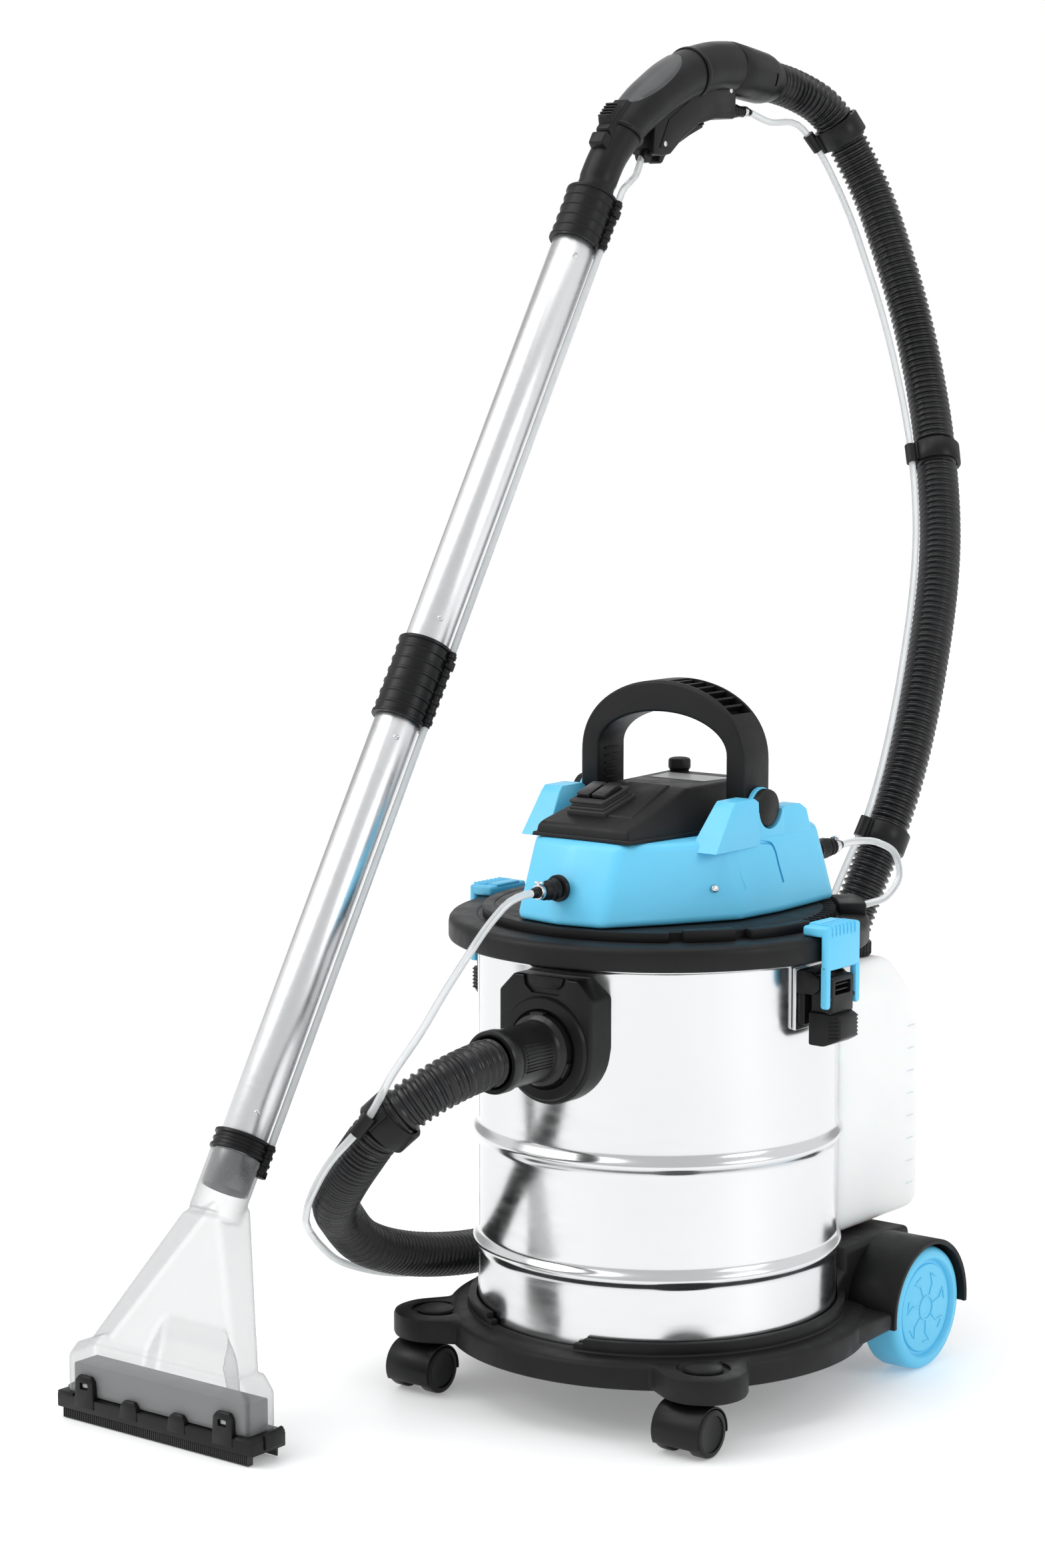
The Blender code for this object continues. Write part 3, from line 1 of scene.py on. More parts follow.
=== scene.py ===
"""A wet carpet cleaner, put together the way it is assembled: studio, hose and tubes,
dolly, drum, inlet, lid, motor head, clean water tank, grip, wand and nozzle."""
import math
import bmesh
import bpy
from mathutils import Matrix, Vector


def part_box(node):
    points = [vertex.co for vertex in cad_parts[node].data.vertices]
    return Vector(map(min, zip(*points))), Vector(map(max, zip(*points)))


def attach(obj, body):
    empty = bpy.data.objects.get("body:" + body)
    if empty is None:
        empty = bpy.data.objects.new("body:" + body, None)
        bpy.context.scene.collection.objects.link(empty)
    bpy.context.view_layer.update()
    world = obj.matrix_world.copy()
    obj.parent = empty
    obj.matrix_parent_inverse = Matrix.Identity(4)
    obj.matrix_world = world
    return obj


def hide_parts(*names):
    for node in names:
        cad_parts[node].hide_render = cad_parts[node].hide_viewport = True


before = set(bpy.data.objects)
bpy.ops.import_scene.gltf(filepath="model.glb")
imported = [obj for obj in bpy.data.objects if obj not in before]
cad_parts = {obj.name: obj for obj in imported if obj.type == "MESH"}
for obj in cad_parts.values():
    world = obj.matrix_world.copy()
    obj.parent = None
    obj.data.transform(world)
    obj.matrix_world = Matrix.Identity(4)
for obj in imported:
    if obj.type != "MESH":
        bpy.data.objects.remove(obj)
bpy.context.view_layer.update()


# ---- Studio: a pale matt floor, a soft white surround, three lamps, a broad overhead light
# and the camera. Everything is placed from the drum's axis, which the frame gives.
low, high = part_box("tank_body")
DRUM = Vector(((low.x + high.x) / 2, (low.y + high.y) / 2, 0.0))
STAND = Matrix.Translation(DRUM)


def at(x, y, z):
    """A point given from the drum's axis and the floor."""
    return DRUM + Vector((x, y, z))


def wire(tree, kind, links=(), settings=(), **values):
    """A new node with its settings, constant inputs and incoming links."""
    made = tree.nodes.new(kind)
    for name, value in dict(settings).items():
        setattr(made, name, value)
    for name, value in values.items():
        made.inputs[name.replace("_", " ")].default_value = value
    for socket, source in dict(links).items():
        tree.links.new(source, made.inputs[socket])
    return made


def grain(tree, scale, detail=3.0, stretch=(1.0, 1.0, 1.0)):
    """Cloudy noise on the piece's own coordinates; scale is in grains a metre."""
    place = wire(tree, "ShaderNodeTexCoord").outputs["Object"]
    place = wire(tree, "ShaderNodeMapping", {"Vector": place}, Scale=stretch).outputs[0]
    return wire(tree, "ShaderNodeTexNoise", {"Vector": place}, Scale=scale, Detail=detail,
                Roughness=0.55).outputs["Fac"]


def spread(tree, source, low, high, start=0.3, end=0.7):
    """A pattern's values brought to a range."""
    return wire(tree, "ShaderNodeMapRange", {"Value": source}, From_Min=start, From_Max=end,
                To_Min=low, To_Max=high).outputs[0]


def tones(tree, source, first, second):
    """Two colours mixed by a pattern."""
    mix = wire(tree, "ShaderNodeMix", settings={"data_type": "RGBA"})
    tree.links.new(source, mix.inputs["Factor"])
    mix.inputs[6].default_value = (*first, 1.0)
    mix.inputs[7].default_value = (*second, 1.0)
    return mix.outputs[2]


def relief(tree, source, height, strength=1.0, under=None):
    """Bump from a pattern; height is the pattern's depth in metres."""
    made = wire(tree, "ShaderNodeBump", {"Height": source}, Distance=height, Strength=strength)
    if under is not None:
        tree.links.new(under, made.inputs["Normal"])
    return made.outputs[0]


def finish(name, **constants):
    """An empty Principled material, with its constants on its own sockets."""
    made = bpy.data.materials.new(name)
    made.use_nodes = True
    body = made.node_tree.nodes["Principled BSDF"]
    for socket, value in constants.items():
        body.inputs[socket.replace("_", " ")].default_value = value
    return made, made.node_tree, body


def plastic(name, dark, light, smooth, rough, pitch=1300.0, depth=0.00005, **constants):
    """Moulded plastic: a fine spark-eroded grain, uneven gloss and a slight colour drift."""
    made, tree, body = finish(name, **constants)
    tree.links.new(tones(tree, spread(tree, grain(tree, 9.0), 0.0, 1.0), dark, light),
                   body.inputs["Base Color"])
    tree.links.new(spread(tree, grain(tree, 60.0, 4.0), smooth, rough), body.inputs["Roughness"])
    tree.links.new(relief(tree, grain(tree, pitch, 2.0), depth, 0.6), body.inputs["Normal"])
    return made


camera = bpy.data.objects.new("camera", bpy.data.cameras.new("camera"))
camera.location = at(1.5064, -2.1118, 0.809)
camera.rotation_euler = (math.radians(82.75), 0.0, math.radians(37.87))
camera.data.lens = 76.5
camera.data.sensor_width = 36.0
bpy.context.scene.collection.objects.link(camera)
bpy.context.scene.camera = camera

for name, place, size, power, warmth in (
        ("key_light", (-1.9, -1.9, 2.3), 1.3, 16.0, (1.0, 0.99, 0.97)),
        ("side_light", (2.4, 0.2, 1.5), 1.0, 12.0, (0.97, 0.985, 1.0)),
        ("top_light", (0.1, 0.5, 3.0), 1.8, 10.0, (1.0, 1.0, 1.0))):
    lamp = bpy.data.objects.new(name, bpy.data.lights.new(name, "AREA"))
    lamp.data.size = size
    lamp.data.energy = power
    lamp.data.color = warmth
    lamp.location = at(*place)
    lamp.rotation_euler = (at(0.0, 0.0, 0.4) - lamp.location).to_track_quat("-Z", "Y").to_euler()
    bpy.context.scene.collection.objects.link(lamp)
roof = bpy.data.objects.new("roof_light", bpy.data.lights.new("roof_light", "SUN"))
roof.data.energy, roof.data.angle = 1.05, math.radians(50.0)
roof.rotation_euler = (math.radians(28.0), math.radians(-24.0), 0.0)
bpy.context.scene.collection.objects.link(roof)
# the surround is white behind the object, with a grey wall to each side of that
world = bpy.data.worlds.new("studio_air")
world.use_nodes = True
tree = world.node_tree
way = wire(tree, "ShaderNodeVectorMath", {0: wire(tree,
                                                  "ShaderNodeTexCoord").outputs["Generated"]},
           {"operation": "MULTIPLY"})
way.inputs[1].default_value = (1.0, 1.0, 0.0)
flat_way = wire(tree, "ShaderNodeVectorMath", {0: way.outputs[0]}, {"operation": "NORMALIZE"})
facing_it = wire(tree, "ShaderNodeVectorMath", {0: flat_way.outputs[0]},
                 {"operation": "DOT_PRODUCT"})
facing_it.inputs[1].default_value = (-0.614, 0.789, 0.0)
walls = wire(tree, "ShaderNodeValToRGB", {
    "Fac": spread(tree, facing_it.outputs["Value"], 0.0, 1.0, -1.0, 1.0)})
ramp = walls.color_ramp
ramp.elements[0].position, ramp.elements[0].color = 0.0, (0.70, 0.71, 0.72, 1.0)
ramp.elements[1].position, ramp.elements[1].color = 0.989, (1.0, 1.0, 1.0, 1.0)
for place, grey in ((0.30, 0.80), (0.52, 0.93), (0.80, 0.93), (0.872, 0.46), (0.978, 0.46)):
    ramp.elements.new(place).color = (grey, grey * 1.004, grey * 1.01, 1.0)
tree.links.new(walls.outputs[0], tree.nodes["Background"].inputs["Color"])
tree.nodes["Background"].inputs["Strength"].default_value = 1.0
bpy.context.scene.world = world
bpy.context.scene.view_settings.view_transform = "Standard"

floor_mesh = bpy.data.meshes.new("studio_floor")
floor_mesh.from_pydata([at(x, y, -0.0004) for x, y in ((-30, -30), (30, -30), (30, 30),
                                                       (-30, 30))],
                       [], [(0, 1, 2, 3)])
floor = bpy.data.objects.new("studio_floor", floor_mesh)
bpy.context.scene.collection.objects.link(floor)
pale, tree, body = finish("pale_floor", Roughness=0.5, Emission_Strength=0.22,
                          Emission_Color=(1.0, 1.0, 1.0, 1.0))
tree.links.new(tones(tree, grain(tree, 1.3), (0.86, 0.865, 0.87), (0.885, 0.89, 0.89)),
               body.inputs["Base Color"])
floor_mesh.materials.append(pale)


# ---- Suction hose and its spray tube: a glossy black ribbed hose from the inlet cuff
# round the left side to the handle, with a thin milky tube held along it by clips.
HOSE_LENGTH, HOSE_RADIUS, LINE_RADIUS, LINE_OFFSET = 1.954, 0.0185, 0.003, 0.0262


def along(points, share):
    """The point and the direction at a share of a line's length."""
    gaps = [(b - a).length for a, b in zip(points, points[1:])]
    left = share * sum(gaps)
    for a, b, gap in zip(points, points[1:], gaps):
        if left <= gap or b is points[-1]:
            return a + (b - a) * (left / gap), (b - a).normalized()
        left -= gap


def smooth_line(route, count):
    """Evenly spaced points on one smooth curve through a route."""
    points = [Vector(point) for point in route]
    gaps = [(b - a).length for a, b in zip(points, points[1:])]
    slopes = [(b - a) / gap for a, b, gap in zip(points, points[1:], gaps)]
    tangents = [slopes[0]]
    for before, after, gap, following in zip(slopes, slopes[1:], gaps, gaps[1:]):
        tangents.append((before * following + after * gap) / (gap + following))
    tangents.append(slopes[-1])
    dense = []
    for i, gap in enumerate(gaps):
        for step in range(16):
            t = step / 16
            dense.append((2 * t**3 - 3 * t**2 + 1) * points[i]
                         + (t**3 - 2 * t**2 + t) * gap * tangents[i]
                         + (3 * t**2 - 2 * t**3) * points[i + 1]
                         + (t**3 - t**2) * gap * tangents[i + 1])
    dense.append(points[-1])
    return [along(dense, index / (count - 1))[0] for index in range(count)]


def line_curve(name, points, radius=0.0):
    """An open curve through points, round if it has a radius."""
    data = bpy.data.curves.new(name, "CURVE")
    data.dimensions = "3D"
    data.bevel_depth = radius
    data.bevel_resolution = 5
    data.use_fill_caps = True
    spline = data.splines.new("POLY")
    spline.points.add(len(points) - 1)
    for place, point in zip(points, spline.points):
        point.co = (*place, 1.0)
    made = bpy.data.objects.new(name, data)
    bpy.context.scene.collection.objects.link(made)
    return made


def tree_of(name, inputs):
    """A Geometry Nodes tree with named inputs, and its ends."""
    tree = bpy.data.node_groups.new(name, "GeometryNodeTree")
    tree.interface.new_socket("Geometry", in_out="INPUT", socket_type="NodeSocketGeometry")
    for label, kind in inputs:
        tree.interface.new_socket(label, in_out="INPUT", socket_type="NodeSocket" + kind)
    tree.interface.new_socket("Geometry", in_out="OUTPUT", socket_type="NodeSocketGeometry")
    return tree, tree.nodes.new("NodeGroupInput"), tree.nodes.new("NodeGroupOutput")


def grown(piece, name, tree, **inputs):
    """What a tree makes of a piece, as a plain mesh object; the piece is taken away."""
    live = piece.modifiers.new("growth", "NODES")
    live.node_group = tree
    for item in tree.interface.items_tree:
        label = item.name.replace(" ", "_")
        if item.in_out == "INPUT" and label in inputs:
            live[item.identifier] = inputs[label]
    bpy.context.view_layer.update()
    seen = piece.evaluated_get(bpy.context.evaluated_depsgraph_get())
    mesh = bpy.data.meshes.new_from_object(seen)
    mesh.name = name
    made = bpy.data.objects.new(name, mesh)
    bpy.context.scene.collection.objects.link(made)
    bpy.data.objects.remove(piece)
    return made


# the ribbed wall: its radius rises and falls once a rib, and the ribs are pulled apart at
# the inlet, packed together in the loop beside the drum, and half open beyond it
ribbed_wall, start, end = tree_of("ribbed_hose", [
    ("Open Pitch", "Float"), ("Packed From", "Float"), ("Packed Pitch", "Float"),
    ("Rest From", "Float"), ("Rest Pitch", "Float"), ("Ring Step", "Float"),
    ("Crest", "Float"), ("Valley", "Float"), ("Sides", "Int"), ("Finish", "Material")])
given = start.outputs
even = wire(ribbed_wall, "GeometryNodeResampleCurve", {"Curve": given["Geometry"],
            "Length": given["Ring Step"]}, {"mode": "LENGTH"})
gone = wire(ribbed_wall, "GeometryNodeSplineParameter").outputs["Length"]


def sum_of(tree, operation, first, second):
    """One step of arithmetic in a tree; either side may be a number."""
    made = wire(tree, "ShaderNodeMath", settings={"operation": operation})
    for socket, value in enumerate((first, second)):
        if isinstance(value, (int, float)):
            made.inputs[socket].default_value = value
        else:
            tree.links.new(value, made.inputs[socket])
    return made.outputs[0]


open_part = sum_of(ribbed_wall, "MINIMUM", gone, given["Packed From"])
packed_part = sum_of(ribbed_wall, "SUBTRACT", sum_of(
    ribbed_wall, "MINIMUM", sum_of(ribbed_wall, "MAXIMUM", gone, given["Packed From"]),
    given["Rest From"]), given["Packed From"])
rest_part = sum_of(ribbed_wall, "SUBTRACT", sum_of(ribbed_wall, "MAXIMUM", gone,
                   given["Rest From"]), given["Rest From"])
turns = sum_of(ribbed_wall, "DIVIDE", open_part, given["Open Pitch"])
turns = sum_of(ribbed_wall, "ADD", turns,
               sum_of(ribbed_wall, "DIVIDE", packed_part, given["Packed Pitch"]))
turns = sum_of(ribbed_wall, "ADD", turns,
               sum_of(ribbed_wall, "DIVIDE", rest_part, given["Rest Pitch"]))
wave = sum_of(ribbed_wall, "COSINE", sum_of(ribbed_wall, "MULTIPLY", turns, math.tau), 0.0)
reach = wire(ribbed_wall, "ShaderNodeMapRange", {
    "Value": wave, "To Min": given["Valley"], "To Max": given["Crest"]},
    {"interpolation_type": "SMOOTHSTEP"}, From_Min=-1.0, From_Max=0.9)
ring = wire(ribbed_wall, "GeometryNodeCurvePrimitiveCircle",
            {"Resolution": start.outputs["Sides"]}, Radius=1.0)
skin = wire(ribbed_wall, "GeometryNodeCurveToMesh", {"Curve": even.outputs[0],
            "Profile Curve": ring.outputs[0], "Scale": reach.outputs[0]}, Fill_Caps=True)
coated = wire(ribbed_wall, "GeometryNodeSetMaterial", {"Geometry": skin.outputs[0],
              "Material": start.outputs["Finish"]})
ribbed_wall.links.new(coated.outputs[0], end.inputs[0])

hose_black = plastic("hose_black", (0.006, 0.006, 0.0065), (0.014, 0.014, 0.015), 0.2, 0.34,
                     pitch=420.0, depth=0.00003, Specular_IOR_Level=0.36)
hose_route = [
    (0.008, -0.2243, 0.2950), (0.008, -0.2313, 0.2950), (0.006, -0.2510, 0.2920),
    (-0.001, -0.2715, 0.2850), (-0.0185, -0.2930, 0.2680), (-0.0335, -0.3005, 0.2525),
    (-0.054, -0.3020, 0.2275), (-0.086, -0.2860, 0.1975), (-0.125, -0.2450, 0.1715),
    (-0.160, -0.1990, 0.1465), (-0.184, -0.1450, 0.1115), (-0.1935, -0.0820, 0.0870),
    (-0.1945, -0.0190, 0.0730), (-0.194, 0.0600, 0.0660), (-0.193, 0.1200, 0.0680),
    (-0.189, 0.1850, 0.0800), (-0.160, 0.2430, 0.1070), (-0.118, 0.2750, 0.1480),
    (-0.068, 0.2820, 0.1960), (-0.030, 0.2840, 0.2500), (-0.006, 0.3000, 0.3400),
    (0.005, 0.3465, 0.4312), (-0.005, 0.4100, 0.5420), (-0.033, 0.4770, 0.6550),
    (-0.056, 0.5070, 0.7170), (-0.080, 0.5300, 0.7760), (-0.125, 0.5470, 0.8940),
    (-0.165, 0.5450, 0.9850), (-0.188, 0.5140, 1.0400), (-0.202, 0.4810, 1.0555),
    (-0.205, 0.4621, 1.0587), (-0.205, 0.4551, 1.0594)]
hose_route = [at(*point) for point in hose_route]
hose_line = [hose_route[0], *smooth_line(hose_route[1:-1], 398), hose_route[-1]]
suction_hose = grown(line_curve("hose_core", hose_line), "suction_hose_ribbed", ribbed_wall,
                     Open_Pitch=0.0063, Packed_From=0.118, Packed_Pitch=0.0034, Rest_From=0.40,
                     Rest_Pitch=0.0057, Ring_Step=0.00054, Crest=HOSE_RADIUS,
                     Valley=HOSE_RADIUS - 0.0023, Sides=24, Finish=hose_black)
for face in suction_hose.data.polygons:
    face.use_smooth = True
# the hose's own middle: the mean of each ring of its skin
rings = [v.co.copy() for v in suction_hose.data.vertices]
hose_middle = [sum(rings[k:k + 24], Vector()) / 24 for k in range(0, len(rings), 24)]

# which side of the hose the spray tube keeps to, at a share of the hose's length
line_sides = [
    (0.00, (0.0, -1.0, 0.3)), (0.055, (-0.13, -0.93, 0.15)), (0.10, (-0.6, -0.6, -0.5)),
    (0.16, (-0.7, -0.4, -0.6)), (0.25, (-0.7, -0.2, -0.7)), (0.35, (-1.0, 0.0, 0.0)),
    (0.45, (-0.8, -0.2, 0.3)), (0.589, (-0.24, -0.96, 0.15)), (0.778, (-0.41, -0.89, 0.1)),
    (0.955, (-0.42, -0.30, -0.86)), (1.00, (-0.3, -0.3, -1.0))]


def side_of(points, share):
    """The direction square to the hose that the spray tube keeps to."""
    for (low, first), (high, second) in zip(line_sides, line_sides[1:]):
        if share <= high:
            part = (share - low) / (high - low)
            wanted = Vector(first).normalized().lerp(Vector(second).normalized(), part)
            break
    direction = along(points, share)[1]
    return (wanted - wanted.dot(direction) * direction).normalized()


milky, tree, body = finish("milky_tube", IOR=1.48, Transmission_Weight=0.55, Roughness=0.16)
tree.links.new(tones(tree, grain(tree, 40.0), (0.80, 0.83, 0.84), (0.93, 0.94, 0.94)),
               body.inputs["Base Color"])
tree.links.new(relief(tree, grain(tree, 260.0), 0.00004, 0.5), body.inputs["Normal"])
coarse_hose = [hose_route[0], *smooth_line(hose_route[1:-1], 78), hose_route[-1]]
line_start = [(0.0, -0.1642, 0.4130), (0.0, -0.1720, 0.4130), (-0.001, -0.1880, 0.4100),
              (-0.004, -0.2070, 0.3970), (-0.008, -0.2290, 0.3750), (-0.012, -0.2520, 0.3500),
              (-0.016, -0.2760, 0.3220), (-0.023, -0.3010, 0.2930)]
line_end = [(-0.205, 0.4520, 1.0235), (-0.205, 0.4225, 1.0300)]
beside = [along(coarse_hose, share)[0] + LINE_OFFSET * side_of(coarse_hose, share)
          for share in [0.048 + (0.972 - 0.048) * index / 44 for index in range(45)]]
line_route = [at(*p) for p in line_start] + beside + [at(*p) for p in line_end]
spray_line = smooth_line(line_route, 260)
spray_tube = line_curve("spray_tube_clear", spray_line, LINE_RADIUS)
spray_tube.data.materials.append(milky)
feed_line = smooth_line([at(*p) for p in (
    (0.060, 0.1713, 0.417), (0.060, 0.196, 0.417), (0.061, 0.228, 0.412), (0.062, 0.254, 0.398),
    (0.062, 0.260, 0.381), (0.061, 0.244, 0.366), (0.058, 0.218, 0.362), (0.0555, 0.196, 0.360),
    (0.055, 0.190, 0.3510))], 90)
feed_tube = line_curve("feed_tube_clear", feed_line, LINE_RADIUS)
feed_tube.data.materials.append(milky)


def lathe(profile, steps=96):
    """A mesh turned about Z from a loop of (radius, height) points; on the axis it closes."""
    bm = bmesh.new()
    rings = []
    for radius, height in profile:
        if radius < 1e-7:
            rings.append([bm.verts.new((0.0, 0.0, height))] * steps)
        else:
            rings.append([bm.verts.new((radius * math.cos(math.tau * k / steps),
                                        radius * math.sin(math.tau * k / steps), height))
                          for k in range(steps)])
    for one, two in zip(rings, rings[1:] + rings[:1]):
        for k in range(steps):
            n = (k + 1) % steps
            corners = list(dict.fromkeys((one[k], one[n], two[n], two[k])))
            if len(corners) > 2:
                bm.faces.new(corners)
    bmesh.ops.recalc_face_normals(bm, faces=bm.faces)
    return bm


def rod(radius, low, high, steps):
    """A plain round bar about Z between two heights."""
    return lathe([(0.0, low), (radius, low), (radius, high), (0.0, high)], steps)


def rounded(bm, edge, segments=3, angle=0.45):
    """A mesh with its sharp edges rounded."""
    if edge > 0:
        sharp = [e for e in bm.edges if len(e.link_faces) == 2
                 and e.calc_face_angle(0.0) > angle]
        bmesh.ops.bevel(bm, geom=sharp, offset=edge, segments=segments, profile=0.5,
                        affect="EDGES", clamp_overlap=True)
    return bm


def slab(outline, depth, edge=0.0, segments=3):
    """A flat outline in XY with its thickness about Z, its edges rounded."""
    bm = bmesh.new()
    base = bm.faces.new([bm.verts.new((x, y, -depth / 2)) for x, y in outline])
    grow = bmesh.ops.extrude_face_region(bm, geom=[base])["geom"]
    bmesh.ops.translate(bm, verts=[g for g in grow if isinstance(g, bmesh.types.BMVert)],
                        vec=(0.0, 0.0, depth))
    bmesh.ops.recalc_face_normals(bm, faces=bm.faces)
    return rounded(bm, edge, segments)


def brick(low, high, edge=0.0, segments=3):
    """A block between two corners, its edges rounded."""
    low, high = Vector(low), Vector(high)
    bm = bmesh.new()
    bmesh.ops.create_cube(bm, size=1.0)
    for v in bm.verts:
        v.co = Vector(((low[i] + high[i]) / 2 + v.co[i] * (high[i] - low[i])) for i in range(3))
    return rounded(bm, edge, segments)


def wrapped(points, edge=0.0, segments=3):
    """The tight skin round some points, its edges rounded."""
    bm = bmesh.new()
    for point in points:
        bm.verts.new(point)
    bmesh.ops.convex_hull(bm, input=list(bm.verts))
    bmesh.ops.delete(bm, geom=[v for v in bm.verts if not v.link_faces], context="VERTS")
    bmesh.ops.dissolve_limit(bm, angle_limit=0.02, verts=bm.verts, edges=bm.edges)
    bmesh.ops.recalc_face_normals(bm, faces=bm.faces)
    return rounded(bm, edge, segments, 0.12)


def drawn(path, radii, sides=24):
    """A round bar along a path, with its radius at each point."""
    bm = bmesh.new()
    rings = []
    normal = None
    for index, point in enumerate(path):
        a, b = path[max(index - 1, 0)], path[min(index + 1, len(path) - 1)]
        direction = (b - a).normalized()
        if normal is None:
            normal = direction.orthogonal().normalized()
        normal = (normal - normal.dot(direction) * direction).normalized()
        other = direction.cross(normal)
        radius = radii[index] if hasattr(radii, "__len__") else radii
        rings.append([bm.verts.new(point + radius * (math.cos(math.tau * k / sides) * normal
                                                     + math.sin(math.tau * k / sides) * other))
                      for k in range(sides)])
    for one, two in zip(rings, rings[1:]):
        for k in range(sides):
            bm.faces.new((one[k], one[(k + 1) % sides], two[(k + 1) % sides], two[k]))
    bm.faces.new(rings[0])
    bm.faces.new(rings[-1])
    bmesh.ops.recalc_face_normals(bm, faces=bm.faces)
    return bm


def moved(bm, place=(0.0, 0.0, 0.0), toward=None, spin=0.0, up="Y"):
    """A mesh turned so that its Z points toward a direction, then put in its place."""
    turn = Matrix.Rotation(spin, 4, "Z")
    if toward is not None:
        turn = Vector(toward).to_track_quat("Z", up).to_matrix().to_4x4() @ turn
    bm.transform(Matrix.Translation(Vector(place)) @ turn)
    return bm


def mirrored(points):
    """Points on the left, then the same points on the right."""
    return [(side * x, y, z) for side in (-1, 1) for x, y, z in points]


def settled(made, body, nodes=(), sharp=38.0):
    """A piece shaded smooth but for its sharp edges, riding on its body, and standing for
    its nodes."""
    for face in made.data.polygons:
        face.use_smooth = True
    made.data.set_sharp_from_angle(angle=math.radians(sharp))
    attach(made, body)
    if nodes:
        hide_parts(*nodes)
    return made


def held(parts, name="stock"):
    """An object in the scene that joins some meshes, to put modifiers on."""
    data, whole = bpy.data.meshes.new(name), bmesh.new()
    for part in parts:
        spare = bpy.data.meshes.new("spare")
        part.to_mesh(spare)
        whole.from_mesh(spare)
        part.free()
        bpy.data.meshes.remove(spare)
    whole.to_mesh(data)
    whole.free()
    made = bpy.data.objects.new(name, data)
    bpy.context.scene.collection.objects.link(made)
    return made


def piece(name, parts, paint, body, slot, nodes=(), sharp=38.0, within=Matrix()):
    """One finished piece from its parts, put in a frame."""
    for part in parts:
        part.transform(within)
    made = held(parts, name)
    made.data.materials.append(paint)
    return settled(made, body, nodes, sharp)


satin_black = plastic("satin_black", (0.005, 0.005, 0.0052), (0.009, 0.009, 0.0095), 0.3, 0.42,
                      pitch=900.0, depth=0.00003, Specular_IOR_Level=0.22)
clips = []
for number, share in enumerate((0.059, 0.325, 0.589, 0.778, 0.944), 1):
    facet = int(share * 79)
    centre = (coarse_hose[facet] + coarse_hose[facet + 1]) / 2
    direction = (coarse_hose[facet + 1] - coarse_hose[facet]).normalized()
    spot = centre + LINE_OFFSET * side_of(coarse_hose, share)
    nearest = min(range(3, 257), key=lambda k: (spray_line[k] - spot).length)
    eye, eye_way = spray_line[nearest], (spray_line[nearest + 1] - spray_line[nearest - 1])
    inner, half = HOSE_RADIUS + 0.0004, 0.0095
    band = lathe([(inner, -half), (inner + 0.0026, -half), (inner + 0.0032, -half + 0.0008),
                  (inner + 0.0032, half - 0.0008), (inner + 0.0026, half), (inner, half)], 48)
    outward = (eye - centre - (eye - centre).dot(direction) * direction).normalized()
    across = direction.cross(outward)
    lug = brick((-0.0055, HOSE_RADIUS + 0.0022, -half + 0.0004), (0.0055, LINE_OFFSET - 0.0022,
                half - 0.0004), 0.0010)
    basis = Matrix((across, outward, direction)).transposed().to_4x4()
    basis.translation = centre
    band.transform(basis)
    lug.transform(basis)
    ring = moved(lathe([(LINE_RADIUS + 0.0002, -half + 0.0006),
                        (LINE_RADIUS + 0.0022, -half + 0.0006),
                        (LINE_RADIUS + 0.0022, half - 0.0006),
                        (LINE_RADIUS + 0.0002, half - 0.0006)],
                       20), eye, eye_way)
    clips.append(piece("hose_clip_band_%d" % number, [band, lug, ring], satin_black, "root",
                       "black_plastic", ["hose_clip_%d" % number]))
line_length = sum((b - a).length for a, b in zip(spray_line, spray_line[1:]))
feed_length = sum((b - a).length for a, b in zip(feed_line, feed_line[1:]))
for made, node, slot, line, length, across, more in (
        (suction_hose, "suction_hose", "rubber", hose_line, HOSE_LENGTH, 2 * HOSE_RADIUS,
         {"path": hose_middle, "with_pieces": clips}),
        (spray_tube, "spray_tube", "clear_plastic", spray_line, line_length, 2 * LINE_RADIUS, {}),
        (feed_tube, "feed_tube", "clear_plastic", feed_line, feed_length, 2 * LINE_RADIUS, {})):
    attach(made, "root")
    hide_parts(node)


# ---- Dolly: one thick black moulding with a grained top. A ring round the drum's foot,
# a sloping skirt, two arms with caster pods in front and wheel arches behind.
grained_black = plastic("grained_black", (0.005, 0.005, 0.0052), (0.0095, 0.0095, 0.010), 0.42,
                        0.56,
                        pitch=1500.0, depth=0.00011, Specular_IOR_Level=0.24)
LIP, POD, POD_RADIUS = 0.1437, (0.129, -0.120), 0.034


def altered(stock, kind, **settings):
    """One more modifier on an object, with its settings."""
    step = stock.modifiers.new(kind.lower(), kind)
    for name, value in settings.items():
        setattr(step, name, value)


def taken(stock, *tools):
    """The mesh that an object's modifiers make; the object and its tools are taken away."""
    bpy.context.view_layer.update()
    seen = stock.evaluated_get(bpy.context.evaluated_depsgraph_get())
    bm = bmesh.new()
    bm.from_mesh(seen.to_mesh())
    seen.to_mesh_clear()
    for made in (stock, *tools):
        bpy.data.objects.remove(made)
    return bm


def carved(bm, *tools):
    """A mesh with other closed meshes cut out of it."""
    for tool in tools:
        stock, cutter = held([bm]), held([tool], "tool")
        altered(stock, "BOOLEAN", operation="DIFFERENCE", solver="EXACT", object=cutter)
        bm = taken(stock, cutter)
    return bm


def arc(radius, start, end, steps, middle=(0.0, 0.0)):
    """Points on an arc, angles in degrees."""
    return [(middle[0] + radius * math.cos(math.radians(start + (end - start) * k / steps)),
             middle[1] + radius * math.sin(math.radians(start + (end - start) * k / steps)))
            for k in range(steps + 1)]


def sector(inner, outer, start, end, low, high, edge, steps):
    """A piece of a ring between two angles in degrees and two heights."""
    outline = arc(outer, start, end, steps) + arc(inner, end, start, steps)
    return moved(slab(outline, high - low, edge, 2), (0.0, 0.0, (low + high) / 2))


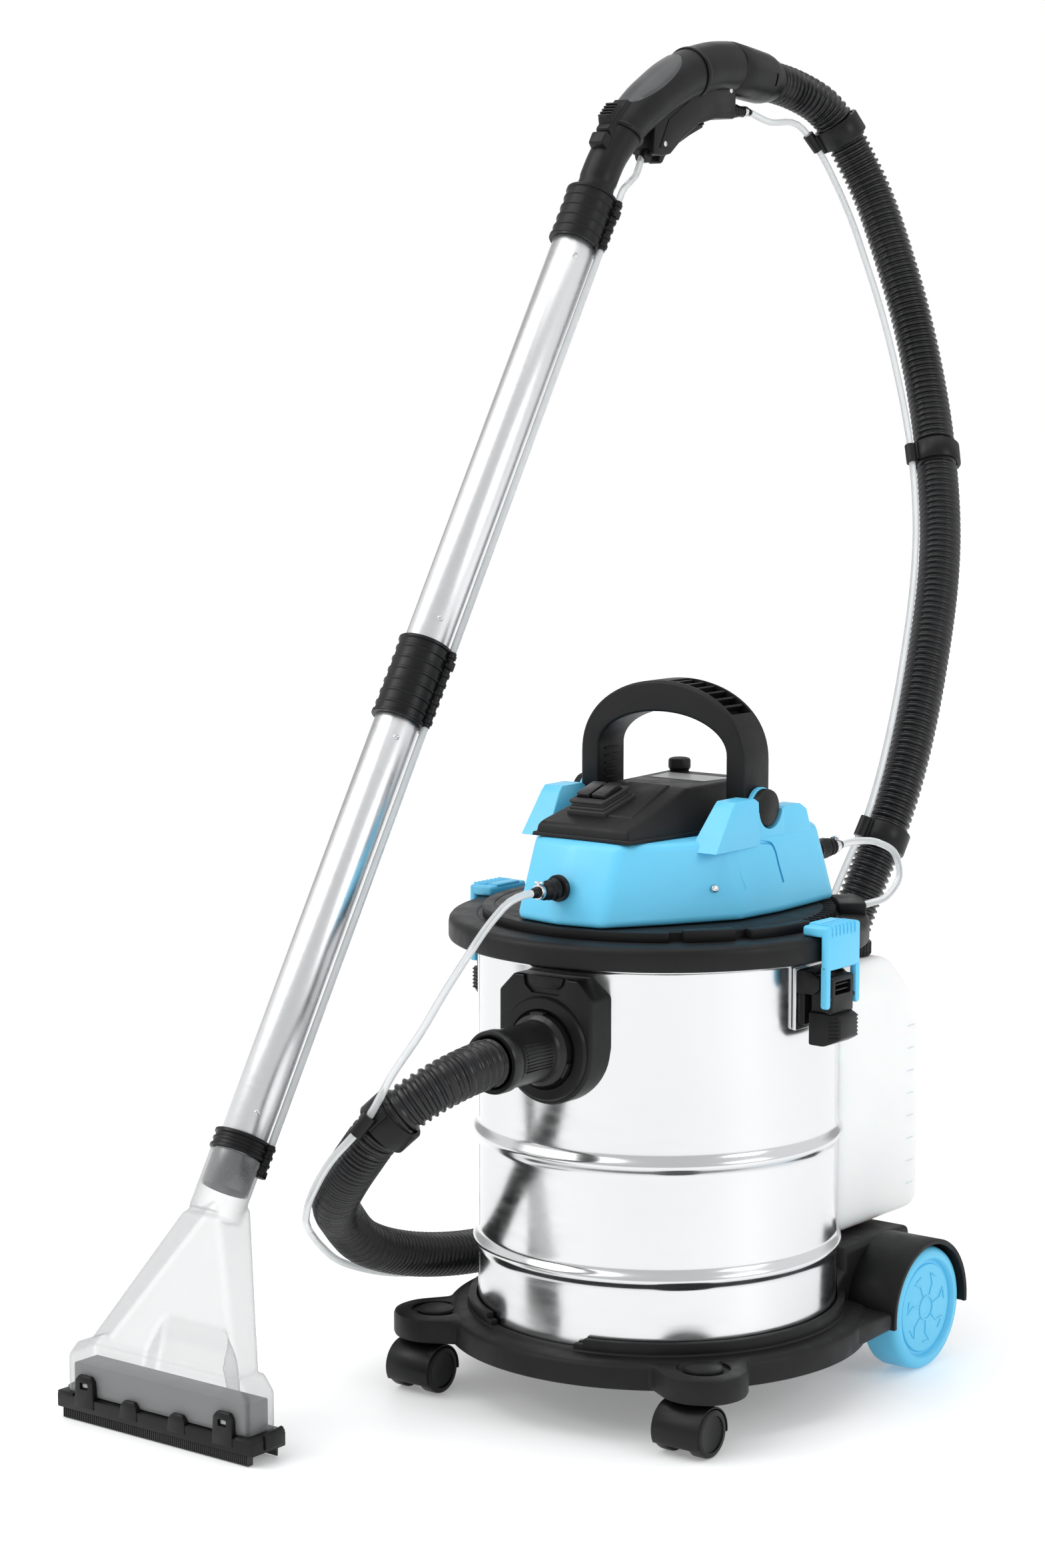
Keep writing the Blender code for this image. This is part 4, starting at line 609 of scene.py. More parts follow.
skirt = lathe([(0.0, 0.0477), (LIP, 0.0477), (LIP, 0.0632), (0.1446, 0.0640), (0.1486, 0.0640),
               (0.1502, 0.0634), (0.1513, 0.0622), (0.1575, 0.0616), (0.1640, 0.0606),
               (0.1668, 0.0590), (0.1680, 0.0572), (0.1680, 0.0418), (0.1672, 0.0410),
               (0.1560, 0.0410), (0.1550, 0.0418), (0.0, 0.0418)], 160)
lip = sector(LIP, 0.1499, -76.5, 243.5, 0.0600, 0.0717, 0.0009, 96)
shoulders = [sector(LIP + 0.0002, 0.1497, -79.5, -76.0, 0.0600, 0.0676, 0.0008, 4),
             sector(LIP + 0.0002, 0.1497, 243.0, 246.5, 0.0600, 0.0676, 0.0008, 4)]
dolly_parts = [skirt, lip, *shoulders]
reach = math.hypot(*POD)
for side in (-1, 1):
    way = math.atan2(POD[1], side * POD[0])
    tip = arc(POD_RADIUS, -72, 72, 20, (reach, 0.0))
    arm = slab([(0.118, -0.060), (0.152, -0.0525), (0.1655, -0.0370), *tip, (0.1655, 0.0370),
                (0.152, 0.0525), (0.118, 0.060)], 0.0196, 0.0030, 2)
    moved(arm, (0.0, 0.0, 0.0511))
    groove = moved(lathe([(0.0152, -0.0022), (0.0205, -0.0022), (0.0205, 0.004),
                          (0.0152, 0.004)], 64), (reach, 0.0, 0.0609))
    drop = moved(slab([(-0.0345, 0.0), (-0.0165, -0.0122), (-0.0165, 0.0122)], 0.0062),
                 (reach, 0.0, 0.0618))
    arm = carved(arm, groove, drop)
    arm.transform(Matrix.Rotation(way, 4, "Z"))
    button = moved(lathe([(0.0, 0.0019), (0.0122, 0.0016), (0.0140, 0.0008), (0.0147, -0.0008),
                          (0.0147, -0.004), (0.0, -0.004)], 48),
                   (side * POD[0], POD[1], 0.0608))
    dolly_parts += [arm, button]
wheel_y, wheel_radius, room, arch = 0.153, 0.050, 0.0535, 0.0565
saddle = brick((-0.118, 0.093, 0.0414), (0.118, 0.193, 0.1042), 0.0050, 3)
for side in (-1, 1):
    saddle = carved(saddle, moved(rod(room, -0.05, 0.05, 64),
                                  (side * 0.1715, wheel_y, wheel_radius), (1.0, 0.0, 0.0)))
saddle = carved(saddle, moved(rod(LIP, -0.2, 0.2, 96), (0.0, 0.0, 0.2477)))
dolly_parts.append(saddle)
for side in (-1, 1):
    hoop = arc(arch, -6, 186, 40) + arc(room, 186, -6, 40)
    hoop = moved(slab(hoop, 0.0450, 0.0009, 2), (side * 0.1405, wheel_y, wheel_radius),
                 (1.0, 0.0, 0.0))
    ridge = moved(slab(arc(arch - 0.0002, -6, 186, 40) + arc(room - 0.0012, 186, -6, 40), 0.0022,
                       0.0006, 2), (side * 0.1617, wheel_y, wheel_radius), (1.0, 0.0, 0.0))
    cheek = moved(lathe([(0.0, -0.0022), (arch - 0.0005, -0.0022), (arch - 0.0003, 0.0),
                         (arch - 0.0005, 0.0022), (0.0, 0.0022)], 72),
                  (side * 0.1185, wheel_y, wheel_radius), (1.0, 0.0, 0.0))
    cheek = carved(cheek, brick((side * 0.1185 - 0.02, 0.0, -0.1),
                                (side * 0.1185 + 0.02, 0.3, 0.0450)))
    wing = wrapped([(side * x, y, z) for x, y, z in (
        (0.1150, 0.016, 0.0416), (0.1150, 0.016, 0.0602), (0.1613, 0.030, 0.0416),
        (0.1613, 0.030, 0.0602), (0.1613, 0.0985, 0.0450), (0.1613, 0.0975, 0.0590),
        (0.1150, 0.0985, 0.0450), (0.1150, 0.0975, 0.0600))], 0.0035, 3)
    ramp = wrapped([(side * x, y, z) for x, y, z in (
        (0.104, 0.060, 0.0590), (0.118, 0.060, 0.0590), (0.104, 0.098, 0.0590),
        (0.118, 0.098, 0.0590), (0.104, 0.105, 0.1030), (0.1175, 0.112, 0.0985),
        (0.104, 0.112, 0.0590), (0.1175, 0.112, 0.0590))], 0.0030, 2)
    ramp = carved(ramp, moved(rod(LIP, -0.2, 0.2, 96), (0.0, 0.0, 0.2477)))
    dolly_parts += [hoop, ridge, cheek, wing, ramp]
piece("dolly_moulding", dolly_parts, grained_black, "root", "black_plastic", ["base_dolly"],
      within=STAND)

# ---- Rear wheels: hollow blue mouldings on a plain steel axle, with a rim groove and a
# plain raised pattern of spokes and dashes on the outer face.
sky_blue = plastic("sky_blue", (0.115, 0.535, 0.80), (0.135, 0.575, 0.84), 0.34, 0.44,
                   pitch=1600.0, depth=0.00004, Specular_IOR_Level=0.45)


def metal(name, dark, light, drift, pitch, smooth, rough):
    """Bare metal: a slight drift of tone and an uneven gloss."""
    made, tree, body = finish(name, Metallic=1.0)
    tree.links.new(tones(tree, grain(tree, drift), dark, light), body.inputs["Base Color"])
    tree.links.new(spread(tree, grain(tree, pitch), smooth, rough), body.inputs["Roughness"])
    return made, tree, body


bright_steel = metal("bright_steel", (0.62, 0.62, 0.63), (0.74, 0.74, 0.745), 50.0, 220.0,
                     0.13, 0.26)[0]
repeats, start, end = tree_of("repeats", [
    ("Count", "Int"), ("First Place", "Vector"), ("Place Step", "Vector"),
    ("First Turn", "Float"), ("Turn Step", "Float"), ("Shape", "Object"),
    ("Finish", "Material")])
given = start.outputs
dots = wire(repeats, "GeometryNodeMeshLine", {
    "Count": given["Count"], "Start Location": given["First Place"],
    "Offset": given["Place Step"]}, {"mode": "OFFSET"})
index = wire(repeats, "GeometryNodeInputIndex").outputs[0]
angle = sum_of(repeats, "ADD", sum_of(repeats, "MULTIPLY", index, given["Turn Step"]),
               given["First Turn"])
spin = wire(repeats, "FunctionNodeEulerToRotation", {
    0: wire(repeats, "ShaderNodeCombineXYZ", {"Z": angle}).outputs[0]})
shape = wire(repeats, "GeometryNodeObjectInfo", {"Object": given["Shape"]})
placed = wire(repeats, "GeometryNodeInstanceOnPoints", {
    "Points": dots.outputs[0], "Instance": shape.outputs["Geometry"],
    "Rotation": spin.outputs[0]})
real = wire(repeats, "GeometryNodeRealizeInstances", {0: placed.outputs[0]})
coated = wire(repeats, "GeometryNodeSetMaterial", {"Geometry": real.outputs[0],
              "Material": given["Finish"]})
repeats.links.new(coated.outputs[0], end.inputs[0])


def repeated(name, shape, count, paint, body, place=(0.0, 0.0, 0.0), step=(0.0, 0.0, 0.0),
             turn=0.0, turn_step=0.0, frame_at=STAND):
    """The same shape many times in a row or round an axis, as one finished piece."""
    data = bpy.data.meshes.new("pattern")
    shape.to_mesh(data)
    shape.free()
    pattern = bpy.data.objects.new("pattern", data)
    carrier = bpy.data.objects.new("carrier", bpy.data.meshes.new("carrier"))
    bpy.context.scene.collection.objects.link(pattern)
    bpy.context.scene.collection.objects.link(carrier)
    made = grown(carrier, name, repeats, Count=count, First_Place=place, Place_Step=step,
                 First_Turn=turn, Turn_Step=turn_step, Shape=pattern, Finish=paint)
    bpy.data.objects.remove(pattern)
    made.data.transform(frame_at)
    return settled(made, body)


def facing(place, direction):
    """A frame at a place with its Z along a direction."""
    turn = Vector(direction).to_track_quat("Z", "Y").to_matrix().to_4x4()
    return Matrix.Translation(Vector(place)) @ turn


for side, name in ((-1, "left"), (1, "right")):
    hub = facing(at(side * 0.143, wheel_y, wheel_radius), (side, 0.0, 0.0))
    rim = lathe([(0.0, 0.0146), (0.0335, 0.0146), (0.0352, 0.0142), (0.0362, 0.0126),
                 (0.0386, 0.0126),
                 (0.0396, 0.0156), (0.0408, 0.0168), (0.0450, 0.0168), (0.0480, 0.0152),
                 (0.0496, 0.0122), (0.0500, 0.0080), (0.0500, -0.0110), (0.0490, -0.0138),
                 (0.0460, -0.0166), (0.0420, -0.0170), (0.0400, -0.0150), (0.0390, 0.0060),
                 (0.0110, 0.0080), (0.0105, -0.0160), (0.0100, -0.0170), (0.0053, -0.0170),
                 (0.0053, 0.0060), (0.0, 0.0060)], 128)
    piece("rear_wheel_rim_" + name, [rim], sky_blue, "rear_wheel_" + name, "blue_plastic",
          ["rear_wheel_" + name], within=hub)
    for label, low, high, shift, spin in (
            ("spokes", (0.0110, -0.0007), (0.0215, 0.0007), (0.0, 0.0, 0.0), 0.0),
            ("dashes", (0.0270, -0.0038), (0.0282, 0.0038), (0.0, 0.0, 0.0), 0.0),
            ("forks", (-0.0046, -0.0007), (0.0046, 0.0007), (0.0243, 0.0035, 0.0), 0.75)):
        mark = moved(brick((*low, 0.0140), (*high, 0.01545), 0.0005, 2), shift, spin=spin)
        repeated("rear_wheel_%s_%s" % (label, name), mark, 7, sky_blue, "rear_wheel_" + name,
                 turn=0.2, turn_step=math.tau / 7, frame_at=hub)
    hub_ring = lathe([(0.0090, 0.0140), (0.0103, 0.0140), (0.0103, 0.0152), (0.0098, 0.0155),
                      (0.0095, 0.0155), (0.0090, 0.0152)], 48)
    piece("rear_wheel_boss_" + name, [hub_ring], sky_blue, "rear_wheel_" + name, "blue_plastic",
          within=hub)
axle = moved(lathe([(0.0, -0.1485), (0.0046, -0.1485), (0.0050, -0.1481), (0.0050, 0.1481),
                    (0.0046, 0.1485), (0.0, 0.1485)], 32),
             at(0.0, wheel_y, wheel_radius), (1.0, 0.0, 0.0))
piece("rear_axle_bar", [axle], bright_steel, "root", "stainless_steel", ["rear_axle"])

# ---- Casters: twin-wheel swivel casters under the pods, a hooded black housing between
# two hard wheels with flat capped faces.
for side, name in ((-1, "left"), (1, "right")):
    x, pin_y, axle_y, axle_z = side * POD[0], POD[1], POD[1] - 0.018, 0.0185
    hood = arc(0.0205, -30, 188, 36) + arc(0.0190, 188, -30, 36)
    hood = moved(slab([(-u, v) for u, v in hood], 0.0420, 0.0007, 2), at(x, axle_y, axle_z),
                 (1.0, 0.0, 0.0))
    web = moved(lathe([(0.0, -0.0088), (0.0192, -0.0088), (0.0200, -0.0080), (0.0200, 0.0080),
                       (0.0192, 0.0088), (0.0, 0.0088)], 64), at(x, axle_y, axle_z),
                (1.0, 0.0, 0.0))
    web = carved(web, brick(at(x - 0.03, axle_y - 0.03, -0.03),
                            at(x + 0.03, axle_y + 0.03, 0.0085)))
    collar = moved(lathe([(0.0, 0.0), (0.0076, 0.0), (0.0085, 0.0012), (0.0085, 0.0160),
                          (0.0078, 0.0178), (0.0, 0.0178)], 40), at(x, pin_y, 0.0220))
    neck = wrapped([at(x + s * w, y, z) for s in (-1, 1) for w, y, z in (
        (0.0065, axle_y, 0.0250), (0.0065, axle_y + 0.006, 0.0385),
        (0.0065, pin_y + 0.002, 0.0385),
        (0.0065, pin_y + 0.002, 0.0240))], 0.0018, 2)
    stem = moved(rod(0.0040, 0.030, 0.0550, 32), at(x, pin_y, 0.0))
    piece("caster_hood_" + name, [hood, web, collar, neck, stem], satin_black, "caster_" + name,
          "black_plastic", ["caster_housing_" + name])
    treads = []
    for face in (-1, 1):
        tread = lathe([(0.0, 0.0040), (0.0128, 0.0040), (0.0136, 0.0044), (0.0140, 0.0058),
                       (0.0165, 0.0059), (0.0180, 0.0050), (0.0185, 0.0034), (0.0185, -0.0048),
                       (0.0178, -0.0058), (0.0160, -0.0060), (0.0, -0.0060)], 72)
        treads.append(moved(tread, at(x + face * 0.0155, axle_y, axle_z), (face, 0.0, 0.0)))
    spindle = moved(rod(0.0028, -0.0105, 0.0105, 24), at(x, axle_y, axle_z), (1.0, 0.0, 0.0))
    piece("caster_treads_" + name, treads + [spindle], satin_black, "caster_wheels_" + name,
          "black_plastic", ["caster_wheels_" + name])

# ---- Drum: rolled stainless sheet with two beads and a rim, welded down one seam. The
# sheet is bright with a faint rolling grain and small waves.
drum_steel, tree, body = finish("drum_steel", Metallic=1.0)
tree.links.new(tones(tree, grain(tree, 5.0), (0.66, 0.664, 0.668), (0.73, 0.733, 0.737)),
               body.inputs["Base Color"])
tree.links.new(spread(tree, grain(tree, 30.0, 4.0, (1.0, 1.0, 5.0)), 0.15, 0.22),
               body.inputs["Roughness"])
ripples = relief(tree, grain(tree, 7.0, 1.0, (1.0, 1.0, 0.35)), 0.0035, 0.22)
tree.links.new(relief(tree, grain(tree, 420.0, 2.0, (1.0, 1.0, 0.06)), 0.00002, 0.4, ripples),
               body.inputs["Normal"])
radius, wall = 0.1425, 0.0012
outside = [(0.1445, 0.3585), (0.1449, 0.3580), (0.1449, 0.3552), (0.1445, 0.3545),
           (0.1430, 0.3538),
           (radius, 0.3525)]
for middle in (0.207, 0.119):
    outside.append((radius, middle + 0.0120))
    outside += [(radius + 0.0041 * (0.5 + 0.5 * math.cos(math.pi * k / 9)) ** 1.2,
                 middle - 0.0092 * k / 9) for k in range(-9, 10)]
    outside.append((radius, middle - 0.0120))
outside += [(radius, 0.0560), (radius, 0.0515), (radius - 0.0009, 0.0490),
            (radius - 0.003, 0.0480)]
inside = [(r - wall, z) for r, z in reversed(outside[3:-2])]
shell = lathe(outside + [(0.0, 0.0480), (0.0, 0.0492), (radius - 0.0042, 0.0492)] + inside
              + [(radius - wall, 0.3585)], 224)
seam = []
for low_z, high_z in ((0.0640, 0.1080), (0.1300, 0.1960), (0.2180, 0.3520)):
    strip = brick((radius - 0.0004, -0.00045, low_z), (radius + 0.00022, 0.00045, high_z), 0.0002,
                  1)
    strip.transform(Matrix.Rotation(math.radians(-134.0), 4, "Z"))
    seam.append(strip)
piece("drum_sheet", [shell, *seam], drum_steel, "root", "stainless_steel", ["tank_body"], 50.0,
      within=STAND)

# ---- Inlet: an eight-sided black bayonet plate screwed to the drum, with a raised collar
# and a recessed catch above it, and the smooth cuff that locks into it.
plate_x, plate_z, face_y = 0.008, 0.295, -0.158
plate = moved(slab([(-0.0297, 0.055), (-0.0437, 0.041), (-0.0437, 0.002),
                    *arc(0.0430, 190, 350, 28),
                    (0.0437, 0.002), (0.0437, 0.041), (0.0297, 0.055)], 0.0290, 0.0022, 3),
              (plate_x, face_y + 0.0148, plate_z), (0.0, -1.0, 0.0))
catch = wrapped([(plate_x + x, face_y + y, plate_z + z) for x, z in (
    (-0.0215, 0.0600), (0.0215, 0.0600), (-0.0190, 0.0470), (-0.0125, 0.0415), (0.0125, 0.0415),
    (0.0190, 0.0470)) for y in (-0.004, 0.0026)])
plate = carved(plate, moved(rod(0.1428, -0.2, 0.2, 128), (0.0, 0.0, 0.28)), catch)
step = wrapped([(plate_x + x, face_y + y, plate_z + z) for x, z in (
    (-0.0172, 0.0552), (0.0172, 0.0552), (-0.0150, 0.0490), (-0.0110, 0.0458), (0.0110, 0.0458),
    (0.0150, 0.0490)) for y in (0.0006, 0.004)], 0.0005, 2)
collar = moved(lathe([(0.0285, -0.003), (0.0400, -0.003), (0.0400, 0.0010), (0.0385, 0.0030),
                      (0.0340, 0.0036), (0.0310, 0.0036), (0.0300, 0.0026), (0.0285, 0.0020)], 96),
               (plate_x, face_y, plate_z), (0.0, -1.0, 0.0))
spigot = moved(lathe([(0.0217, -0.004), (0.0247, -0.004), (0.0247, 0.024), (0.0217, 0.024)], 64),
               (plate_x, face_y + 0.004, plate_z), (0.0, 1.0, 0.0))
parts = [plate, step, collar, spigot]
piece("inlet_plate", parts, satin_black, "root", "black_plastic", ["inlet_housing"], within=STAND)
throat = facing(at(plate_x, face_y, plate_z), (0.0, -1.0, 0.0))
barrel = lathe([(0.0166, -0.0118), (0.0208, -0.0118), (0.0208, 0.0008), (0.0262, 0.0008),
                (0.0274, 0.0020), (0.0274, 0.0085), (0.0262, 0.0100), (0.0238, 0.0112),
                (0.0230, 0.0135), (0.0228, 0.0150), (0.0224, 0.0500), (0.0226, 0.0530),
                (0.0236, 0.0545), (0.0240, 0.0560), (0.0240, 0.0640), (0.0234, 0.0655),
                (0.0216, 0.0658), (0.0200, 0.0650), (0.0190, 0.0610), (0.0166, 0.0560)], 96)
lugs = [sector(0.0255, 0.0292, a, a + 26, 0.0022, 0.0082, 0.0006, 8) for a in (-40, 80, 200)]
for part in [barrel, *lugs]:
    part.transform(throat)
gloss_black = plastic("gloss_black", (0.007, 0.007, 0.0075), (0.012, 0.012, 0.0125), 0.24, 0.34,
                      pitch=700.0, depth=0.00002, Specular_IOR_Level=0.32)
piece("inlet_cuff_barrel", [barrel, *lugs], gloss_black, "inlet_cuff", "black_plastic",
      ["inlet_cuff"])
flutes = brick((0.0222, -0.00055, 0.0190), (0.02345, 0.00055, 0.0490), 0.0004, 2)
repeated("inlet_cuff_flutes", flutes, 9, gloss_black, "inlet_cuff",
         turn=math.radians(-20), turn_step=math.radians(6.5), frame_at=throat)

# ---- Side clips: a bright spring plate and black block on the drum, a black lever with a
# window and grip marks, and a sky-blue hook with ridges that pulls the lid down.
for side, name in ((1, "right"), (-1, "left")):
    turn = STAND @ Matrix.Rotation(0.0 if side > 0 else math.pi, 4, "Z")
    backing = brick((0.1412, -0.0228, 0.3040), (0.1446, 0.0228, 0.3520), 0.0008, 2)
    piece("clip_plate_" + name, [backing], bright_steel, "root", "stainless_steel", within=turn)
    block = brick((0.1440, -0.0170, 0.3080), (0.1488, 0.0170, 0.3510), 0.0012, 2)
    ears = [wrapped([(x, end * (0.0185 + t), z) for t in (-0.0017, 0.0017) for x, z in (
        (0.1425, 0.3330), (0.1425, 0.3505), (0.1560, 0.3505), (0.1635, 0.3450), (0.1635, 0.3370),
        (0.1580, 0.3325))], 0.0008, 2) for end in (-1, 1)]
    piece("clip_block_" + name, [block, *ears], satin_black, "root", "black_plastic",
          ["clip_bracket_" + name], within=turn)
    upper = carved(brick((0.1528, -0.0160, 0.3170), (0.1718, 0.0160, 0.3468), 0.0024, 3),
                   brick((0.1640, -0.0108, 0.3325), (0.1800, 0.0108, 0.3425), 0.0012, 2))
    bars = [brick((0.1652, -0.0112, z), (0.1706, 0.0112, z + 0.0014), 0.0006, 2)
            for z in (0.3352, 0.3394)]
    lower = wrapped([(x, end * y, z) for end in (-1, 1) for x, y, z in (
        (0.1530, 0.0190, 0.2935), (0.1530, 0.0190, 0.3192), (0.1650, 0.0190, 0.3192),
        (0.1775, 0.0125, 0.3165), (0.1778, 0.0125, 0.2990), (0.1660, 0.0185, 0.2932))], 0.0018, 2)
    link = moved(rod(0.0020, -0.0230, 0.0230, 24), (0.1695, 0.0, 0.330), (0.0, 1.0, 0.0))
    piece("clip_lever_arm_" + name, [upper, *bars, lower, link], satin_black,
          "clip_lever_" + name, "black_plastic", ["clip_lever_" + name], within=turn)
    for end in (-1, 1):
        mark = wrapped([(0.1705, end * 0.0170, 0.0), (0.1705, end * 0.0170, 0.0012),
                        (0.1768, end * 0.0142, 0.0), (0.1768, end * 0.0142, 0.0012),
                        (0.1700, end * 0.0160, 0.0), (0.1700, end * 0.0160, 0.0012),
                        (0.1774, end * 0.0125, 0.0), (0.1774, end * 0.0125, 0.0012)], 0.0002, 1)
        repeated("clip_grip_marks_%s_%d" % (name, end + 1), mark, 6, satin_black,
                 "clip_lever_" + name, place=(0.0, 0.0, 0.2990),
                 step=(0.0, 0.0, 0.0030), frame_at=turn)
    front = brick((0.1665, -0.0235, 0.3520), (0.1725, 0.0235, 0.3860), 0.0022, 3)
    top = brick((0.1500, -0.0234, 0.3778), (0.1722, 0.0234, 0.3858), 0.0022, 3)
    toe = brick((0.1500, -0.0150, 0.3840), (0.1600, 0.0150, 0.3872), 0.0014, 2)
    legs = []
    for end in (-1, 1):
        leg = slab([(-0.0030, 0.0), (-0.0030, -0.0290), *arc(0.0030, 180, 360, 10, (0.0, -0.0300)),
                    (0.0030, -0.0290), (0.0030, 0.0)], 0.0058, 0.0012, 2)
        legs.append(moved(leg, (0.1695, end * 0.0205, 0.3560), (1.0, 0.0, 0.0)))
    piece("clip_hook_plate_" + name, [front, top, toe, *legs], sky_blue, "clip_hook_" + name,
          "blue_plastic", ["clip_hook_" + name], within=turn)
    ridge = brick((0.1602, -0.0011, 0.3780), (0.1735, 0.0011, 0.3871), 0.0006, 2)
    repeated("clip_hook_ridges_" + name, ridge, 7, sky_blue, "clip_hook_" + name,
             place=(0.0, -0.0156, 0.0), step=(0.0, 0.0052, 0.0), frame_at=turn)

# ---- Lid: a thick black ring over the drum's rim with a stepped top, raised blocks round
# the motor head's foot and a row of air fins on its right.
lid = lathe([(0.0780, 0.3844), (0.1280, 0.3844), (0.1298, 0.3834), (0.1300, 0.3772),
             (0.1425, 0.3770), (0.1434, 0.3777), (0.1446, 0.3780), (0.1590, 0.3776),
             (0.1632, 0.3764), (0.1650, 0.3742), (0.1655, 0.3712), (0.1655, 0.3608),
             (0.1650, 0.3596), (0.1640, 0.3590), (0.1460, 0.3590), (0.1460, 0.3628),
             (0.1380, 0.3628), (0.1380, 0.3502), (0.1345, 0.3502), (0.1345, 0.3640),
             (0.0780, 0.3640)], 192)
blocks = [sector(0.1290, 0.1386, first, last, 0.3765, top, 0.0011, steps)
          for first, last, top, steps in ((-24.2, 2.6, 0.3846, 14), (-46.7, -29.6, 0.3862, 10),
                                          (52.0, 308.8, 0.3846, 96))]
horns = [sector(0.1415, 0.1630, 34.0, 52.0, 0.3765, 0.3862, 0.0016, 10),
         sector(0.1415, 0.1630, 128.0, 146.0, 0.3765, 0.3862, 0.0016, 10)]
piece("lid_moulding", [lid, *blocks, *horns], grained_black, "root", "black_plastic",
      ["lid_ring"], within=STAND)
repeated("lid_air_fins", brick((0.1290, -0.0010, 0.3768), (0.1392, 0.0010, 0.3844), 0.0004, 2), 12,
         grained_black, "root", turn=math.radians(5.2),
         turn_step=math.radians(3.9))
soft_rubber = plastic("soft_rubber", (0.013, 0.013, 0.013), (0.02, 0.02, 0.02), 0.55, 0.7,
                      pitch=800.0, depth=0.00005)
seal = lathe([(0.1384, 0.3590), (0.1456, 0.3590), (0.1456, 0.3624), (0.1384, 0.3624)], 96)
piece("lid_seal_ring", [seal], soft_rubber, "root", "rubber", ["lid_seal"], within=STAND)

# ---- Motor head: a sky-blue faceted shell with soft edges, towers that carry the handle,
# a groove in each side, and a side recess with a bright screw.
foot = [(0.0, -0.137), (0.040, -0.130), (0.070, -0.085), (0.100, -0.030), (0.104, 0.020),
        (0.100, 0.100), (0.085, 0.117), (0.0, 0.121)]
brow = [(0.0, -0.112), (0.040, -0.106), (0.062, -0.075), (0.089, -0.030), (0.0935, 0.020),
        (0.0915, 0.084), (0.078, 0.103), (0.0, 0.107)]
low_z, high_z, pivot = 0.3850, 0.4462, (0.020, 0.4655)


def around(points, z):
    """A half outline and its mirror, at one height."""
    return [(side * x, y, z) for x, y in points for side in (-1, 1)]


shell = wrapped(around(foot, low_z) + around(brow, high_z), 0.0062, 5)
for side in (-1, 1):
    path = [Vector((side * (0.1012 - 0.172 * (z - 0.385) + 0.03 * (y + 0.03)), y, z)) for y, z in (
        (-0.0215, 0.4080), (-0.0262, 0.4250), (-0.0268, 0.4335), (-0.0235, 0.4390),
        (-0.0160, 0.4408), (0.0100, 0.4400), (0.0172, 0.4380), (0.0205, 0.4320),
        (0.0222, 0.4230), (0.0262, 0.4075))]
    shell = carved(shell, drawn(smooth_line(path, 40), 0.0017, 12))
    drop = [Vector((side * x, y, z)) for x, y, z in (
        (0.0918, -0.0490, 0.4105), (0.0912, -0.0490, 0.4180), (0.0897, -0.0486, 0.4270),
        (0.0886, -0.0484, 0.4315))]
    shell = carved(shell, drawn(drop, [0.0062, 0.0056, 0.0038, 0.0014], 24))
parts = [shell]
for side in (-1, 1):
    for outline, low_x, high_x in (
            ([(-0.0560, 0.4380), (-0.0330, 0.4700), (-0.0280, 0.4748), (-0.0020, 0.4750),
              (0.0035, 0.4720), (0.0035, 0.4380)], 0.0740, 0.0925),
            ([(0.0365, 0.4380), (0.0365, 0.4600), (0.0405, 0.4650), (0.0640, 0.4650),
              (0.0730, 0.4600), (0.0800, 0.4380)], 0.0740, 0.0915)):
        xs = (low_x, high_x - 0.0008)
        tower = wrapped([(side * x, y, z) for y, z in outline
                         for x in (xs if z > 0.45 else (low_x - 0.006, high_x + 0.0008))],
                        0.0028, 4)
        parts.append(tower)
    saddle = carved(brick((min(side * 0.0790, side * 0.0918), -0.0010, 0.4380),
                          (max(side * 0.0790, side * 0.0918), 0.0400, 0.4640), 0.0012, 2),
                    moved(rod(0.0160, -0.1, 0.1, 64), (0.0, *pivot), (1.0, 0.0, 0.0)))
    disc = moved(lathe([(0.0, -0.0022), (0.0150, -0.0022), (0.0157, -0.0015), (0.0157, 0.0015),
                        (0.0150, 0.0022), (0.0, 0.0022)], 64),
                 (side * 0.08125, *pivot), (1.0, 0.0, 0.0))
    post = brick((min(side * 0.0791, side * 0.0834), 0.0045, 0.4400),
                 (max(side * 0.0791, side * 0.0834), 0.0355, 0.4655), 0.0006, 2)
    parts += [saddle, disc, post]
piece("head_shell_moulding", parts, sky_blue, "root", "blue_plastic", ["head_shell"], 32.0,
      within=STAND)


def screw_head(radius, height=0.0009):
    """A domed cross-head screw, its face up."""
    head = lathe([(0.0, height), (radius * 0.5, height * 0.95), (radius * 0.85, height * 0.6),
                  (radius, 0.0), (radius, -0.0006), (0.0, -0.0006)], 28)
    slot = radius * 0.13
    for spin in (0.0, math.pi / 2):
        head = carved(head, moved(brick((-radius * 0.62, -slot, height * 0.35),
                                        (radius * 0.62, slot, height * 2)), spin=spin))
    return head


screws = [moved(screw_head(0.0030, 0.0011), at(side * 0.0872, -0.0484, 0.4108),
                (side * 0.86, -0.46, 0.2)) for side in (-1, 1)]
piece("head_side_screws", screws, bright_steel, "root", "stainless_steel")
gland = lathe([(0.0, 0.0245), (0.0030, 0.0245), (0.0032, 0.0240), (0.0050, 0.0238),
               (0.0052, 0.0215),
               (0.0044, 0.0205), (0.0056, 0.0195), (0.0058, 0.0172), (0.0050, 0.0162),
               (0.0064, 0.0152), (0.0100, 0.0120), (0.0100, 0.0078), (0.0092, 0.0070),
               (0.0070, 0.0060), (0.0070, 0.0), (0.0, 0.0)], 40)
piece("cord_gland_boot", [gland], soft_rubber, "root", "rubber",
      within=facing(at(-0.050, 0.1065, 0.405), (0.0, 1.0, 0.0)))

